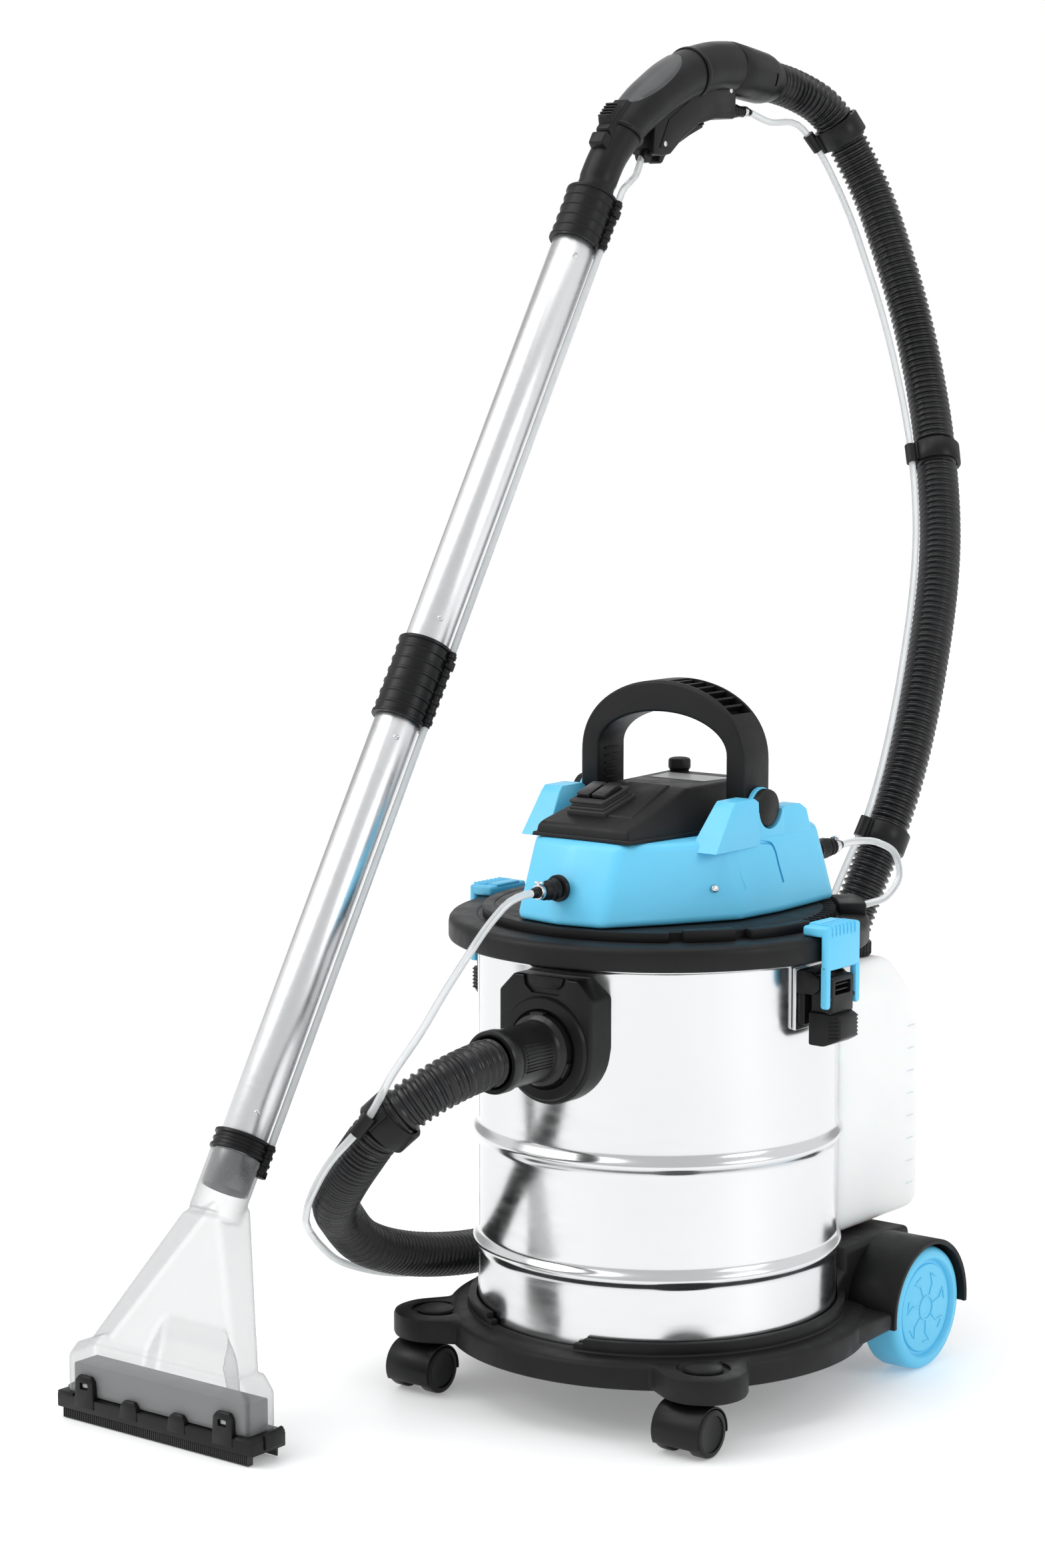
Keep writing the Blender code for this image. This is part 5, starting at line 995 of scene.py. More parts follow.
# ---- Top cover: a black wedge with creased facets, a plain grey label and a small knob,
# held down on the shell by hidden screws.
lid_low, plateau = high_z + 0.0004, high_z + 0.035
cover = wrapped(around([(0.045, -0.102), (0.0575, -0.010), (0.0575, 0.080), (0.045, 0.100)],
                       lid_low)
                + around([(0.043, -0.100)], high_z + 0.011)
                + around([(0.036, -0.012)], plateau - 0.001) + around([(0.040, 0.070)], plateau)
                + [(0.0, 0.092, plateau - 0.004), (0.0, -0.100, high_z + 0.011)], 0.0030, 4)
wedge = wrapped([(-0.026, -0.078, high_z + 0.0182), (0.030, -0.078, high_z + 0.0182),
                 (-0.019, -0.013, plateau + 0.0002), (0.018, -0.013, plateau + 0.0002),
                 (-0.030, -0.080, high_z + 0.0140), (0.034, -0.080, high_z + 0.0140),
                 (-0.022, -0.006, plateau - 0.004), (0.021, -0.006, plateau - 0.004)], 0.0008, 2)
hem = wrapped(around([(0.0462, -0.1035), (0.0588, -0.010), (0.0588, 0.081), (0.046, 0.1012)],
                     lid_low)
              + around([(0.0458, -0.1028), (0.0582, -0.010), (0.0582, 0.0805), (0.0456, 0.1006)],
                       lid_low + 0.0030), 0.0006, 2)
knob = moved(lathe([(0.0, 0.0162), (0.0060, 0.0160), (0.0082, 0.0152), (0.0090, 0.0136),
                    (0.0090, 0.0080), (0.0078, 0.0062), (0.0070, 0.0), (0.0, 0.0)], 48),
                    (-0.030, 0.070, plateau - 0.0055))
piece("top_cover_wedge", [cover, wedge, hem, knob], grained_black, "root", "black_plastic",
      ["top_cover"], 28.0, within=STAND)
label_grey = plastic("label_grey", (0.30, 0.305, 0.31), (0.36, 0.365, 0.37), 0.3, 0.4,
                     pitch=300.0, depth=0.00001)
label = moved(slab([(-0.026, -0.0155), (0.026, -0.0155), (0.030, 0.0155), (-0.030, 0.0155)],
                   0.0004,
                   0.0001, 1), at(0.0, 0.040, plateau - 0.0003))
piece("rating_label_blank", [label], label_grey, "root", "grey_plastic")

# ---- Switches: two glossy black rockers in a stepped rubber boot on the cover's slope.
tilt = (Matrix.Translation(at(-0.011, -0.061, high_z + 0.0211))
        @ Matrix.Rotation(math.atan2(0.023, 0.088), 4, "X"))
boot = [brick((-x, -y, low), (x, y, high), 0.0011, 3) for x, y, low, high in (
    (0.0182, 0.0212, -0.0030, 0.0040), (0.0166, 0.0196, 0.0030, 0.0064),
    (0.0150, 0.0180, 0.0055, 0.0090), (0.0160, 0.0190, 0.0085, 0.0112))]
boot[-1] = carved(boot[-1], brick((-0.0138, -0.0126, 0.006), (0.0138, 0.0126, 0.02)))
piece("switch_boot", boot, soft_rubber, "root", "black_plastic", ["switch_base"], within=tilt)
for node, x in (("switch_vacuum", -0.0072), ("switch_pump", 0.0072)):
    rocker = wrapped([(x + side * 0.0060, y, z) for side in (-1, 1) for y, z in (
        (-0.0115, 0.0100), (-0.0118, 0.0146), (-0.0040, 0.0134), (0.0040, 0.0138),
        (0.0118, 0.0158), (0.0115, 0.0100))], 0.0007, 3)
    stub = moved(rod(0.0032, -0.0058, 0.0058, 24), (x, 0.0, 0.0105), (1.0, 0.0, 0.0))
    piece(node + "_rocker", [rocker, stub], gloss_black, node, "black_plastic", [node],
          within=tilt)

# ---- Carry handle: a thick black arch on two pins, its outer top right hollowed into a
# ribbed channel, small teeth inside the left leg, and round caps over the pins.
outer, inner, spring, rise = 0.0785, 0.0610, 0.040, 0.095


def bow(scale, degrees):
    """A point on the arch's outer curve, scaled about its middle."""
    a = math.radians(degrees)
    return (scale * outer * math.cos(a),
            spring - 0.006 + scale * (rise - spring + 0.006) * math.sin(a) ** 0.9)


shape = [(-outer, 0.0), (-inner, 0.0), (-inner, spring)]
shape += [(inner * math.cos(math.radians(180 - k * 4.5)),
           spring + (rise - 0.0245 - spring) * math.sin(math.radians(180 - k * 4.5)))
          for k in range(1, 40)]
shape += [(inner, spring), (inner, 0.0), (outer, 0.0), (outer, spring - 0.006)]
shape += [bow(1.0, 4.5 * k) for k in range(1, 40)] + [(-outer, spring - 0.006)]
arch_bar = slab(shape, 0.036, 0.0026, 3)
channel = slab([bow(1.15, 36 + 3.2 * k) for k in range(17)]
               + [bow(0.885, 87.2 - 3.2 * k) for k in range(17)], 0.0270)
arch_bar = carved(arch_bar, channel)
ribs = []
for degrees in (44, 52, 60, 68, 76, 84):
    a, b = Vector(bow(0.87, degrees)), Vector(bow(0.985, degrees))
    across = (b - a).normalized().orthogonal() * 0.0009
    ribs.append(slab([a - across, b - across, b + across, a + across], 0.0275))
parts = [arch_bar, *ribs]
for side in (-1, 1):
    hub = moved(lathe([(0.0, -0.0086), (0.0172, -0.0086), (0.0180, -0.0076), (0.0180, 0.0076),
                       (0.0172, 0.0086), (0.0, 0.0086)], 72),
                (side * 0.06975, 0.0, 0.0), (1.0, 0.0, 0.0))
    cap = moved(lathe([(0.0, 0.0068), (0.0128, 0.0066), (0.0140, 0.0058), (0.0147, 0.0040),
                       (0.0147, 0.0002), (0.0140, -0.0006), (0.0060, -0.0008), (0.0060, -0.0140),
                       (0.0, -0.0140)], 72), (side * 0.0843, 0.0, 0.0),
                (side, 0.0, 0.0))
    parts += [hub, cap]
swing = facing(at(0.0, *pivot), (0.0, -1.0, 0.0))
for part in (parts[:1] + ribs):
    part.transform(swing)
for part in parts[1 + len(ribs):]:
    part.transform(Matrix.Translation(at(0.0, *pivot)))
piece("carry_handle_arch", parts, grained_black, "carry_handle", "black_plastic",
      ["carry_handle"], 34.0)
repeated("carry_handle_teeth", brick((-0.0614, -0.0008, -0.0090), (-0.0598, 0.0008, 0.0090),
                                     0.0003, 1),
         7, grained_black, "carry_handle", place=(0.0, 0.0020, 0.0),
         step=(0.0, 0.0058, 0.0), frame_at=swing)

# ---- Hose barbs of the head: ribbed black boots with a bright clamp that squeezes the
# tube's end on a tapered nose, one in front and one behind.
for name, place, way, nodes, long in (
        ("outlet", at(0.0, -0.1290, 0.4130), (0.0, -1.0, 0.0), ["outlet_barb"], 0.0342),
        ("feed", at(0.060, 0.1130, 0.4170), (0.0, 1.0, 0.0), ["feed_barb"], 0.0582)):
    base = long - 0.0342
    stem = [(0.0, long), (0.0030, long), (0.0038, long - 0.0018), (0.0042, long - 0.0040),
            (0.0042, long - 0.0120), (0.0056, long - 0.0122), (0.0070, long - 0.0140),
            (0.0070, long - 0.0152), (0.0056, long - 0.0168), (0.0060, long - 0.0180),
            (0.0076, long - 0.0196), (0.0076, long - 0.0210), (0.0060, long - 0.0226),
            (0.0066, long - 0.0240), (0.0084, long - 0.0256), (0.0084, long - 0.0272)]
    if base > 0.01:
        stem += [(0.0064, 0.0262), (0.0064, 0.0240), (0.0078, 0.0226), (0.0078, 0.0208),
                 (0.0060, 0.0192), (0.0060, 0.0060)]
    stem += [(0.0070, 0.0046), (0.0098, 0.0040), (0.0103, 0.0030), (0.0103, 0.0004),
             (0.0058, 0.0), (0.0058, -0.010), (0.0, -0.010)]
    boot = moved(lathe(stem, 56), place, way)
    piece(name + "_barb_boot", [boot], satin_black, "root", "black_plastic", nodes)
    band = moved(lathe([(0.0046, long - 0.0116), (0.0054, long - 0.0116), (0.0056, long - 0.0112),
                        (0.0056, long - 0.0068), (0.0054, long - 0.0064), (0.0046, long - 0.0064)],
                       40), place, way)
    bolt = moved(brick((-0.0012, 0.0050, long - 0.0108), (0.0012, 0.0082, long - 0.0072), 0.0004,
                       2),
                 place, way)
    pin = moved(rod(0.0011, -0.0034, 0.0034, 16), (0.0, 0.0070, long - 0.0090), (1.0, 0.0, 0.0))
    moved(pin, place, way)
    piece(name + "_barb_clamp", [band, bolt, pin], bright_steel, "root", "stainless_steel")

# ---- Clean water tank: milky blow-moulded plastic hugging the drum's back, with soft
# shoulders, raised level marks and a black screw cap with a spout for the feed tube.
milk_white, tree, body = finish("milk_white", Subsurface_Weight=0.35, Subsurface_Scale=0.02,
                                IOR=1.45)
tree.links.new(tones(tree, grain(tree, 12.0), (0.80, 0.815, 0.81), (0.88, 0.885, 0.88)),
               body.inputs["Base Color"])
tree.links.new(spread(tree, grain(tree, 40.0, 3.0), 0.34, 0.46), body.inputs["Roughness"])
tree.links.new(relief(tree, grain(tree, 35.0, 2.0), 0.0006, 0.25), body.inputs["Normal"])
tank_low, tank_top, half, back = 0.1055, 0.3228, 0.0978, 0.2448
lower = brick((-half, 0.1100, tank_low), (half, back, 0.2770), 0.0130, 3)
upper = wrapped(mirrored([
    (half, 0.1100, 0.2500), (half, 0.1100, 0.3050), (half - 0.012, 0.1100, tank_top),
    (half, 0.2380, 0.2500), (half, 0.2290, 0.2880), (half - 0.004, 0.2140, 0.3050),
    (half - 0.012, 0.2060, tank_top)]), 0.0110, 3)
vessel = held([lower, upper], "vessel")
hollow_side = held([moved(rod(0.1484, -0.4, 0.4, 160), (0.0, 0.0, 0.2))], "tool")
altered(vessel, "REMESH", mode="VOXEL", voxel_size=0.0032)
altered(vessel, "BOOLEAN", operation="DIFFERENCE", solver="EXACT", object=hollow_side)
altered(vessel, "REMESH", mode="VOXEL", voxel_size=0.0026)
altered(vessel, "SMOOTH", factor=0.5, iterations=8)
soft_tank = taken(vessel, hollow_side)
neck = moved(lathe([(0.0128, 0.0), (0.0160, 0.0), (0.0160, 0.0100), (0.0128, 0.0100)], 56),
             (0.055, 0.190, 0.3220))
piece("water_tank_bottle", [soft_tank, neck], milk_white, "root", "white_plastic",
      ["water_tank"], 60.0, within=STAND)
for side in (-1, 1):
    dash = brick((side * half - 0.0005, 0.0, 0.0), (side * half + 0.0004, 0.0100, 0.0011), 0.0003,
                 1)
    repeated("water_level_marks_%d" % (side + 1), dash, 8, milk_white, "root",
             place=(0.0, 0.2180, 0.1300), step=(0.0, 0.0, 0.0190))
lidlet = moved(lathe([(0.0, 0.0135), (0.0150, 0.0135), (0.0178, 0.0130), (0.0196, 0.0118),
                      (0.0198, 0.0100), (0.0198, 0.0012), (0.0192, 0.0004), (0.0164, 0.0003),
                      (0.0164, 0.0102), (0.0, 0.0102)], 64), at(0.055, 0.190, 0.3230))
spout = moved(lathe([(0.0, 0.0258), (0.0042, 0.0258), (0.0046, 0.0250), (0.0044, 0.0200),
                     (0.0052, 0.0180), (0.0044, 0.0170), (0.0070, 0.0138), (0.0, 0.0130)], 32),
                     at(0.055, 0.190, 0.3230))
piece("water_tank_screw_cap", [lidlet, spout], satin_black, "root", "black_plastic",
      ["water_tank_cap"])
knurl = brick((0.0192, -0.0006, 0.0014), (0.0203, 0.0006, 0.0112), 0.0003, 1)
repeated("water_cap_knurl", knurl, 32, satin_black, "root",
         turn_step=math.tau / 32, frame_at=Matrix.Translation(at(0.055, 0.190, 0.3230)))

# ---- Inside the drum: the motor's grey housing and rotor, the float in its cage and the
# foam sleeve round it. They keep the frame's shapes and take better finishes.
foam, tree, body = finish("filter_foam", Roughness=0.95)
cells = wire(tree, "ShaderNodeTexVoronoi", {
    "Vector": wire(tree, "ShaderNodeTexCoord").outputs["Object"]}, Scale=600.0).outputs[0]
tree.links.new(tones(tree, cells, (0.02, 0.02, 0.022), (0.06, 0.06, 0.065)),
               body.inputs["Base Color"])
tree.links.new(relief(tree, cells, 0.0006), body.inputs["Normal"])
machine_grey = plastic("machine_grey", (0.16, 0.165, 0.17), (0.2, 0.205, 0.21), 0.4, 0.5)
float_white = plastic("float_white", (0.72, 0.72, 0.70), (0.8, 0.8, 0.78), 0.3, 0.4)
satin_aluminium, tree, body = metal("satin_aluminium", (0.72, 0.725, 0.73),
                                    (0.77, 0.774, 0.778), 16.0, 240.0, 0.27, 0.33)
tree.links.new(relief(tree, grain(tree, 2200.0, 2.0), 0.000004, 0.3), body.inputs["Normal"])
for node, paint in (("motor_housing", machine_grey), ("motor_rotor", satin_aluminium),
                    ("float_cage", satin_black), ("float_ball", float_white), ("filter", foam),
                    ("water_pump", machine_grey)):
    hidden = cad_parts[node]
    hidden.data.materials.clear()
    hidden.data.materials.append(paint)

# ---- Wand: two satin aluminium tubes joined by a ribbed black coupling, with a ribbed
# socket on top and a double collar below. The spray tube runs beside them.
foot_y, foot_z, lean = -0.267, 0.205, math.radians(31.4)
WAND_FRAME = Matrix.Translation(at(-0.205, foot_y, foot_z)) @ Matrix.Rotation(-lean, 4, "X")
line_x, line_y = 0.0232 * math.cos(math.radians(25.0)), 0.0232 * math.sin(math.radians(25.0))
for label, node, first, last in (("lower", "wand_tube_lower", -0.031, 0.405),
                                 ("upper", "wand_tube_upper", 0.4055, 0.846)):
    tube = lathe([(0.01755, first), (0.0185, first), (0.01875, first + 0.0004),
                  (0.01875, last - 0.0004), (0.0185, last), (0.01755, last)], 96)
    piece("wand_%s_tube" % label, [tube], satin_aluminium, "root", "aluminium", [node],
          within=WAND_FRAME)
# painted shade: this dark metal and the band below darken the wand's end where it sits in the
# nozzle's shaded neck
dark_steel = metal("dark_steel", (0.12, 0.12, 0.124), (0.18, 0.18, 0.184), 20.0, 300.0,
                   0.24, 0.34)[0]
tip = lathe([(0.0186, -0.0314), (0.0189, -0.0310), (0.0189, -0.0034), (0.0186, -0.0031)], 80)
piece("wand_tip_band", [tip], dark_steel, "root", "stainless_steel", within=WAND_FRAME)
side_way = (math.cos(math.radians(-38.0)), math.sin(math.radians(-38.0)))
heads = [moved(screw_head(0.0024, 0.0009), (0.0187 * side_way[0], 0.0187 * side_way[1], s),
               (*side_way, 0.0)) for s in (0.030, 0.352, 0.459, 0.803)]
piece("wand_screws", heads, bright_steel, "root", "stainless_steel", within=WAND_FRAME)


def ribbed_sleeve(first, last, outer, ribs, lip=0.0014):
    """A sleeve round the wand with raised ribs, evenly spaced, from one end to the other."""
    profile = [(0.0190, first), (outer + lip - 0.0006, first), (outer + lip, first + 0.0006),
               (outer + lip, first + 0.0026), (outer, first + 0.0034)]
    for k in range(1, ribs + 1):
        z = first + (last - first) * k / (ribs + 1)
        profile += [(outer, z - 0.0017), (outer + lip * 0.7, z - 0.0008),
                    (outer + lip * 0.7, z + 0.0006),
                    (outer - 0.0002, z + 0.0014)]
    profile += [(outer, last - 0.0034), (outer + lip, last - 0.0026), (outer + lip, last - 0.0006),
                (outer + lip - 0.0006, last), (0.0190, last)]
    return lathe(profile, 80)


def line_fitting(first, last, steps):
    """The stacked connector at a sleeve's side that the spray tube pushes into."""
    profile = [(0.0, first)]
    span = (last - first) / steps
    for k in range(steps):
        z = first + k * span
        profile += [(0.0036, z), (0.0036, z + span * 0.30), (0.0046, z + span * 0.38),
                    (0.0046, z + span * 0.72), (0.0038, z + span * 0.80)]
    profile += [(0.0038, last), (0.0, last)]
    return moved(lathe(profile, 28), (line_x, line_y, 0.0))


for name, node, first, last, ribs, stack in (
        ("wand_socket", "wand_socket_top", 0.820, 0.869, 4, (0.8205, 0.8685, 6)),
        ("wand_joint", "wand_coupling", 0.3705, 0.4395, 6, (0.3715, 0.4385, 8)),
        ("wand_ring", "wand_collar", -0.003, 0.012, 1, (-0.0150, 0.0115, 4))):
    sleeve = ribbed_sleeve(first, last, 0.02155, ribs, 0.0013)
    fitting = line_fitting(*stack)
    web = brick((line_x - 0.0072, line_y - 0.0026, first + 0.002),
                (line_x + 0.0008, line_y + 0.0022, last - 0.002), 0.0006, 2)
    if name == "wand_ring":
        latch = brick((line_x - 0.0045, line_y - 0.0030, -0.0150),
                      (line_x + 0.0042, line_y + 0.0030, -0.0090), 0.0008, 2)
    else:
        latch = brick((line_x - 0.0040, line_y - 0.0036, last - 0.0165),
                      (line_x + 0.0048, line_y + 0.0036, last - 0.0085), 0.0010, 2)
    piece(name + "_sleeve", [sleeve, fitting, web, latch], satin_black, "root", "black_plastic",
          [node], within=WAND_FRAME)
for label, node, first, last in (("lower", "wand_spray_tube_lower", 0.0116, 0.3712),
                                 ("upper", "wand_spray_tube_upper", 0.4388, 0.8207)):
    run = moved(lathe([(0.0021, first), (0.0029, first), (0.0030, first + 0.0002),
                       (0.0030, last - 0.0002), (0.0029, last), (0.0021, last)], 28),
                (line_x, line_y, 0.0))
    piece("wand_spray_run_" + label, [run], milky, "root", "clear_plastic", [node],
          within=WAND_FRAME)

# ---- Grip: a bent hollow handle of satin black plastic that swells toward the hose. It has
# a smooth inlay on top, a band behind the thumb slider, and a trigger housing below.
grip_route = [(0.1615, 0.9079), (0.1835, 0.9430), (0.2044, 0.9765), (0.232, 1.0060),
              (0.2720, 1.0335), (0.3213, 1.0560), (0.3600, 1.0652), (0.3835, 1.0670)]
grip_swell = (0.98, 1.0, 1.0, 1.12, 1.25, 1.32, 1.38, 1.42)
grip_line = smooth_line([at(-0.205, y, z) for y, z in grip_route], 90)
grip_end = Vector((0.0, math.cos(math.radians(-6.0)), math.sin(math.radians(-6.0))))


def grip_radius(share):
    """The grip's radius at a share of its length, eased from one swell to the next."""
    place = share * 7
    low = min(int(place), 6)
    part = place - low
    part = part * part * (3 - 2 * part)
    return 0.0163 * (grip_swell[low] + part * (grip_swell[low + 1] - grip_swell[low]))


# a shallow seam runs round the grip near its lower end
radii = [grip_radius(k / 89) - (0.0006 if k in (17, 18) else 0.0) for k in range(90)]
shaft = drawn(grip_line, radii, 64)


def skin_patch(first, last, widest, lift, bulge):
    """A thin inlay that follows the grip's skin, pointed or round at both ends."""
    bm, steps = bmesh.new(), 44
    rows = []
    for k in range(steps + 1):
        share = first + (last - first) * k / steps
        point, direction = along(grip_line, share)
        up = Vector((1.0, 0.0, 0.0)).cross(direction).normalized()
        width = widest * max(1e-3, 1 - (2 * k / steps - 1) ** 2) ** bulge
        row = []
        for m in range(17):
            a = width * (m / 8 - 1)
            out = up * math.cos(a) + Vector((1.0, 0.0, 0.0)) * math.sin(a)
            edge = 0 < m < 16 and 0 < k < steps
            height = grip_radius(share) + (lift if edge else -0.0004)
            row.append(bm.verts.new(point + out * height))
        rows.append(row)
    for one, two in zip(rows, rows[1:]):
        for m in range(16):
            bm.faces.new((one[m], one[m + 1], two[m + 1], two[m]))
    bmesh.ops.recalc_face_normals(bm, faces=bm.faces)
    middle = rows[steps // 2][8]
    if middle.normal.dot(middle.co - along(grip_line, (first + last) / 2)[0]) < 0:
        bmesh.ops.reverse_faces(bm, faces=bm.faces)
    return bm


def grip_hoop(share, tilt, wide, proud):
    """A raised band round the grip, tilted back from square."""
    point, direction = along(grip_line, share)
    radius = grip_radius(share)
    turn = direction.to_track_quat("Z", "X").to_matrix().to_4x4()
    band = lathe([(radius - 0.0015, -wide / 2), (radius + proud * 0.6, -wide / 2),
                  (radius + proud, -wide / 4), (radius + proud, wide / 4),
                  (radius + proud * 0.6, wide / 2), (radius - 0.0015, wide / 2)], 72)
    band.transform(Matrix.Diagonal((1.0, 1.0 / math.cos(tilt), 1.0, 1.0)))
    axis = turn.inverted() @ Vector((1.0, 0.0, 0.0))
    band.transform(Matrix.Translation(point) @ turn @ Matrix.Rotation(tilt, 4, axis))
    return band


hoops = [grip_hoop(0.395, math.radians(14.0), 0.0042, 0.0017),
         grip_hoop(0.800, math.radians(-8.0), 0.0060, 0.0016)]
pad_low, pad_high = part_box("airflow_slider")
slide_middle = Vector((DRUM.x - 0.205, (pad_low.y + pad_high.y) / 2, (pad_low.z + pad_high.z) / 2))
slider_slope = 0.761115
pad = Matrix.Translation(slide_middle) @ Matrix.Rotation(slider_slope, 4, "X")
track = wrapped([(x, y, z) for side in (-1, 1) for x, y, z in (
    (side * 0.0088, -0.0220, -0.0125), (side * 0.0088, 0.0240, -0.0125),
    (side * 0.0070, -0.0170, -0.0018),
    (side * 0.0070, 0.0200, -0.0018))], 0.0016, 3)
beak = wrapped([(x, y, z) for side in (-1, 1) for x, y, z in (
    (side * 0.0092, -0.0330, -0.0150), (side * 0.0080, -0.0330, -0.0040),
    (side * 0.0080, -0.0215, -0.0010),
    (side * 0.0092, -0.0180, -0.0150))], 0.0022, 3)
for part in (track, beak):
    part.transform(pad)
piece("grip_shaft", [shaft, *hoops, track, beak], satin_black, "root", "black_plastic",
      ["grip_body"], 50.0)
inlay_grey = plastic("inlay_grey", (0.050, 0.051, 0.053), (0.075, 0.076, 0.079), 0.3, 0.4,
                     pitch=900.0, depth=0.00003)
inlay = skin_patch(0.455, 0.745, 1.05, 0.0008, 0.42)
piece("grip_inlay", [inlay], inlay_grey, "root", "grey_plastic")
thumb = wrapped(mirrored([
    (0.0074, -0.0118, -0.0030), (0.0074, 0.0100, -0.0030), (0.0064, -0.0090, 0.0034),
    (0.0064, 0.0080, 0.0034)]), 0.0012, 3)
piece("airflow_slider_body", [thumb], satin_black, "airflow_slider", "black_plastic",
      ["airflow_slider"], within=pad)
repeated("airflow_slider_ribs", brick((-0.0062, -0.0009, 0.0020), (0.0062, 0.0009, 0.0048),
                                      0.0007, 2),
         5, satin_black, "airflow_slider", place=(0.0, -0.0078, 0.0),
         step=(0.0, 0.0037, 0.0), frame_at=pad)
side_frame = facing(at(-0.205, 0.0, 0.0), (1.0, 0.0, 0.0))
housing = slab([(0.258, 0.9850), (0.271, 0.9838), (0.284, 0.9862), (0.300, 0.9985),
                (0.326, 1.0140),
                (0.352, 1.0200), (0.3815, 1.0215), (0.3835, 1.0250), (0.3835, 1.056),
                (0.320, 1.056), (0.262, 1.024)], 0.0236, 0.0022, 3)
cheeks = [moved(slab([(0.2660, 0.9905), (0.2830, 0.9905), (0.3000, 1.0030), (0.3260, 1.0180),
                      (0.3560, 1.0250), (0.3780, 1.0262), (0.3780, 1.046), (0.3300, 1.044),
                      (0.2800, 1.016)], 0.0010, 0.0004, 2), (0.0, 0.0, end * 0.0120))
          for end in (-1, 1)]
lug = moved(lathe([(0.0, -0.0050), (0.0056, -0.0050), (0.0062, -0.0040), (0.0062, 0.0040),
                   (0.0056, 0.0050), (0.0, 0.0050)], 32), (0.2590, 0.9840, 0.0))
for part in [housing, *cheeks, lug]:
    part.transform(side_frame)
nose = lathe([(0.0, 0.0390), (0.0030, 0.0390), (0.0036, 0.0375), (0.0036, 0.0255),
              (0.0048, 0.0250),
              (0.0048, 0.0232), (0.0036, 0.0222), (0.0052, 0.0208), (0.0052, 0.0190),
              (0.0040, 0.0178), (0.0060, 0.0162), (0.0060, 0.0142), (0.0046, 0.0130),
              (0.0068, 0.0112), (0.0068, 0.0086), (0.0052, 0.0072), (0.0052, -0.006),
              (0.0, -0.006)],
             44)
nose.transform(facing(at(-0.205, 0.3825, 1.0300), (0.0, 1.0, 0.0)))
piece("trigger_housing_shell", [housing, *cheeks, lug, nose], satin_black, "root",
      "black_plastic", ["trigger_housing"])
clamp = lathe([(0.0040, 0.0270), (0.0050, 0.0270), (0.0052, 0.0274), (0.0052, 0.0320),
               (0.0050, 0.0324), (0.0040, 0.0324)], 36)
clamp.transform(facing(at(-0.205, 0.3825, 1.0300), (0.0, 1.0, 0.0)))
heads = [moved(screw_head(0.0026, 0.0012), (y, z, end * 0.0122), (0.0, 0.0, end))
         for y, z in ((0.2745, 0.9945), (0.3745, 1.0460)) for end in (-1, 1)]
for part in heads:
    part.transform(side_frame)
piece("trigger_housing_screws", [clamp, *heads], bright_steel, "root", "stainless_steel")
trigger = slab([(0.2735, 0.9790), (0.2765, 0.9778), (0.2795, 0.9792), (0.2830, 0.9842),
                (0.2930, 0.9912), (0.3040, 0.9967), (0.3200, 1.0042), (0.3400, 1.0120),
                (0.3400, 1.0180), (0.3200, 1.0170), (0.2980, 1.0070), (0.2760, 0.9890)], 0.0124,
               0.0011, 3)
pin = moved(rod(0.0012, -0.0099, 0.0099, 20), (0.3350, 1.0150, 0.0))
piece("trigger_lever_arm", [trigger, pin], satin_black, "trigger_lever", "black_plastic",
      ["trigger_lever"], within=side_frame)
feed_top = WAND_FRAME @ Vector((line_x, line_y, 0.866))
feed_path = smooth_line([feed_top, at(-0.186, 0.2025, 0.9510), at(-0.192, 0.2215, 0.9595),
                         at(-0.200, 0.2420, 0.9680), at(-0.205, 0.2575, 0.9850)], 40)
piece("trigger_feed_run", [drawn(feed_path, 0.0030, 20)], milky, "root", "clear_plastic")
cuff = facing(grip_line[-1] + grip_end * 0.0005, grip_end)
sleeve = lathe([(0.0166, 0.0), (0.0218, 0.0), (0.0228, 0.0006), (0.0237, 0.0022), (0.0237, 0.0200),
                (0.0234, 0.0360), (0.0230, 0.0520), (0.0222, 0.0570), (0.0206, 0.0620),
                (0.0200, 0.0660), (0.0194, 0.0680), (0.0166, 0.0680)], 96)
slots = [moved(slab([(-0.0012, -0.0058), (0.0012, -0.0058), (0.0012, 0.0058), (-0.0012, 0.0058)],
                    0.004), (math.cos(a) * 0.0236, math.sin(a) * 0.0236, 0.0485),
               (math.cos(a), math.sin(a), 0.0), up="X") for a in (0.15, math.pi + 0.15)]
sleeve = carved(sleeve, *slots)
piece("handle_cuff_sleeve", [sleeve], satin_black, "handle_cuff", "black_plastic",
      ["handle_cuff"], within=cuff)

# ---- Nozzle: a frosted clear fan with a soft shoulder round its foot and a rear hood. The wand's
# end shows dark through its neck by painted shade, and a grey core shows through its foot.
frosted, tree, body = finish("frosted_clear", Roughness=0.30, IOR=1.38)
tree.links.new(tones(tree, grain(tree, 14.0), (0.44, 0.444, 0.448), (0.52, 0.524, 0.528)),
               body.inputs["Base Color"])
edge_on = wire(tree, "ShaderNodeLayerWeight", Blend=0.42).outputs["Facing"]
tree.links.new(spread(tree, edge_on, 0.17, 0.85, 0.05, 0.95), body.inputs["Alpha"])
tree.links.new(relief(tree, grain(tree, 700.0), 0.00003, 0.5), body.inputs["Normal"])
nozzle_y, half, deep, wall = -0.346, 0.094, 0.015, 0.0022
throat, throat_y = 0.165, foot_y - (foot_z - 0.165) * math.tan(lean) + 0.346


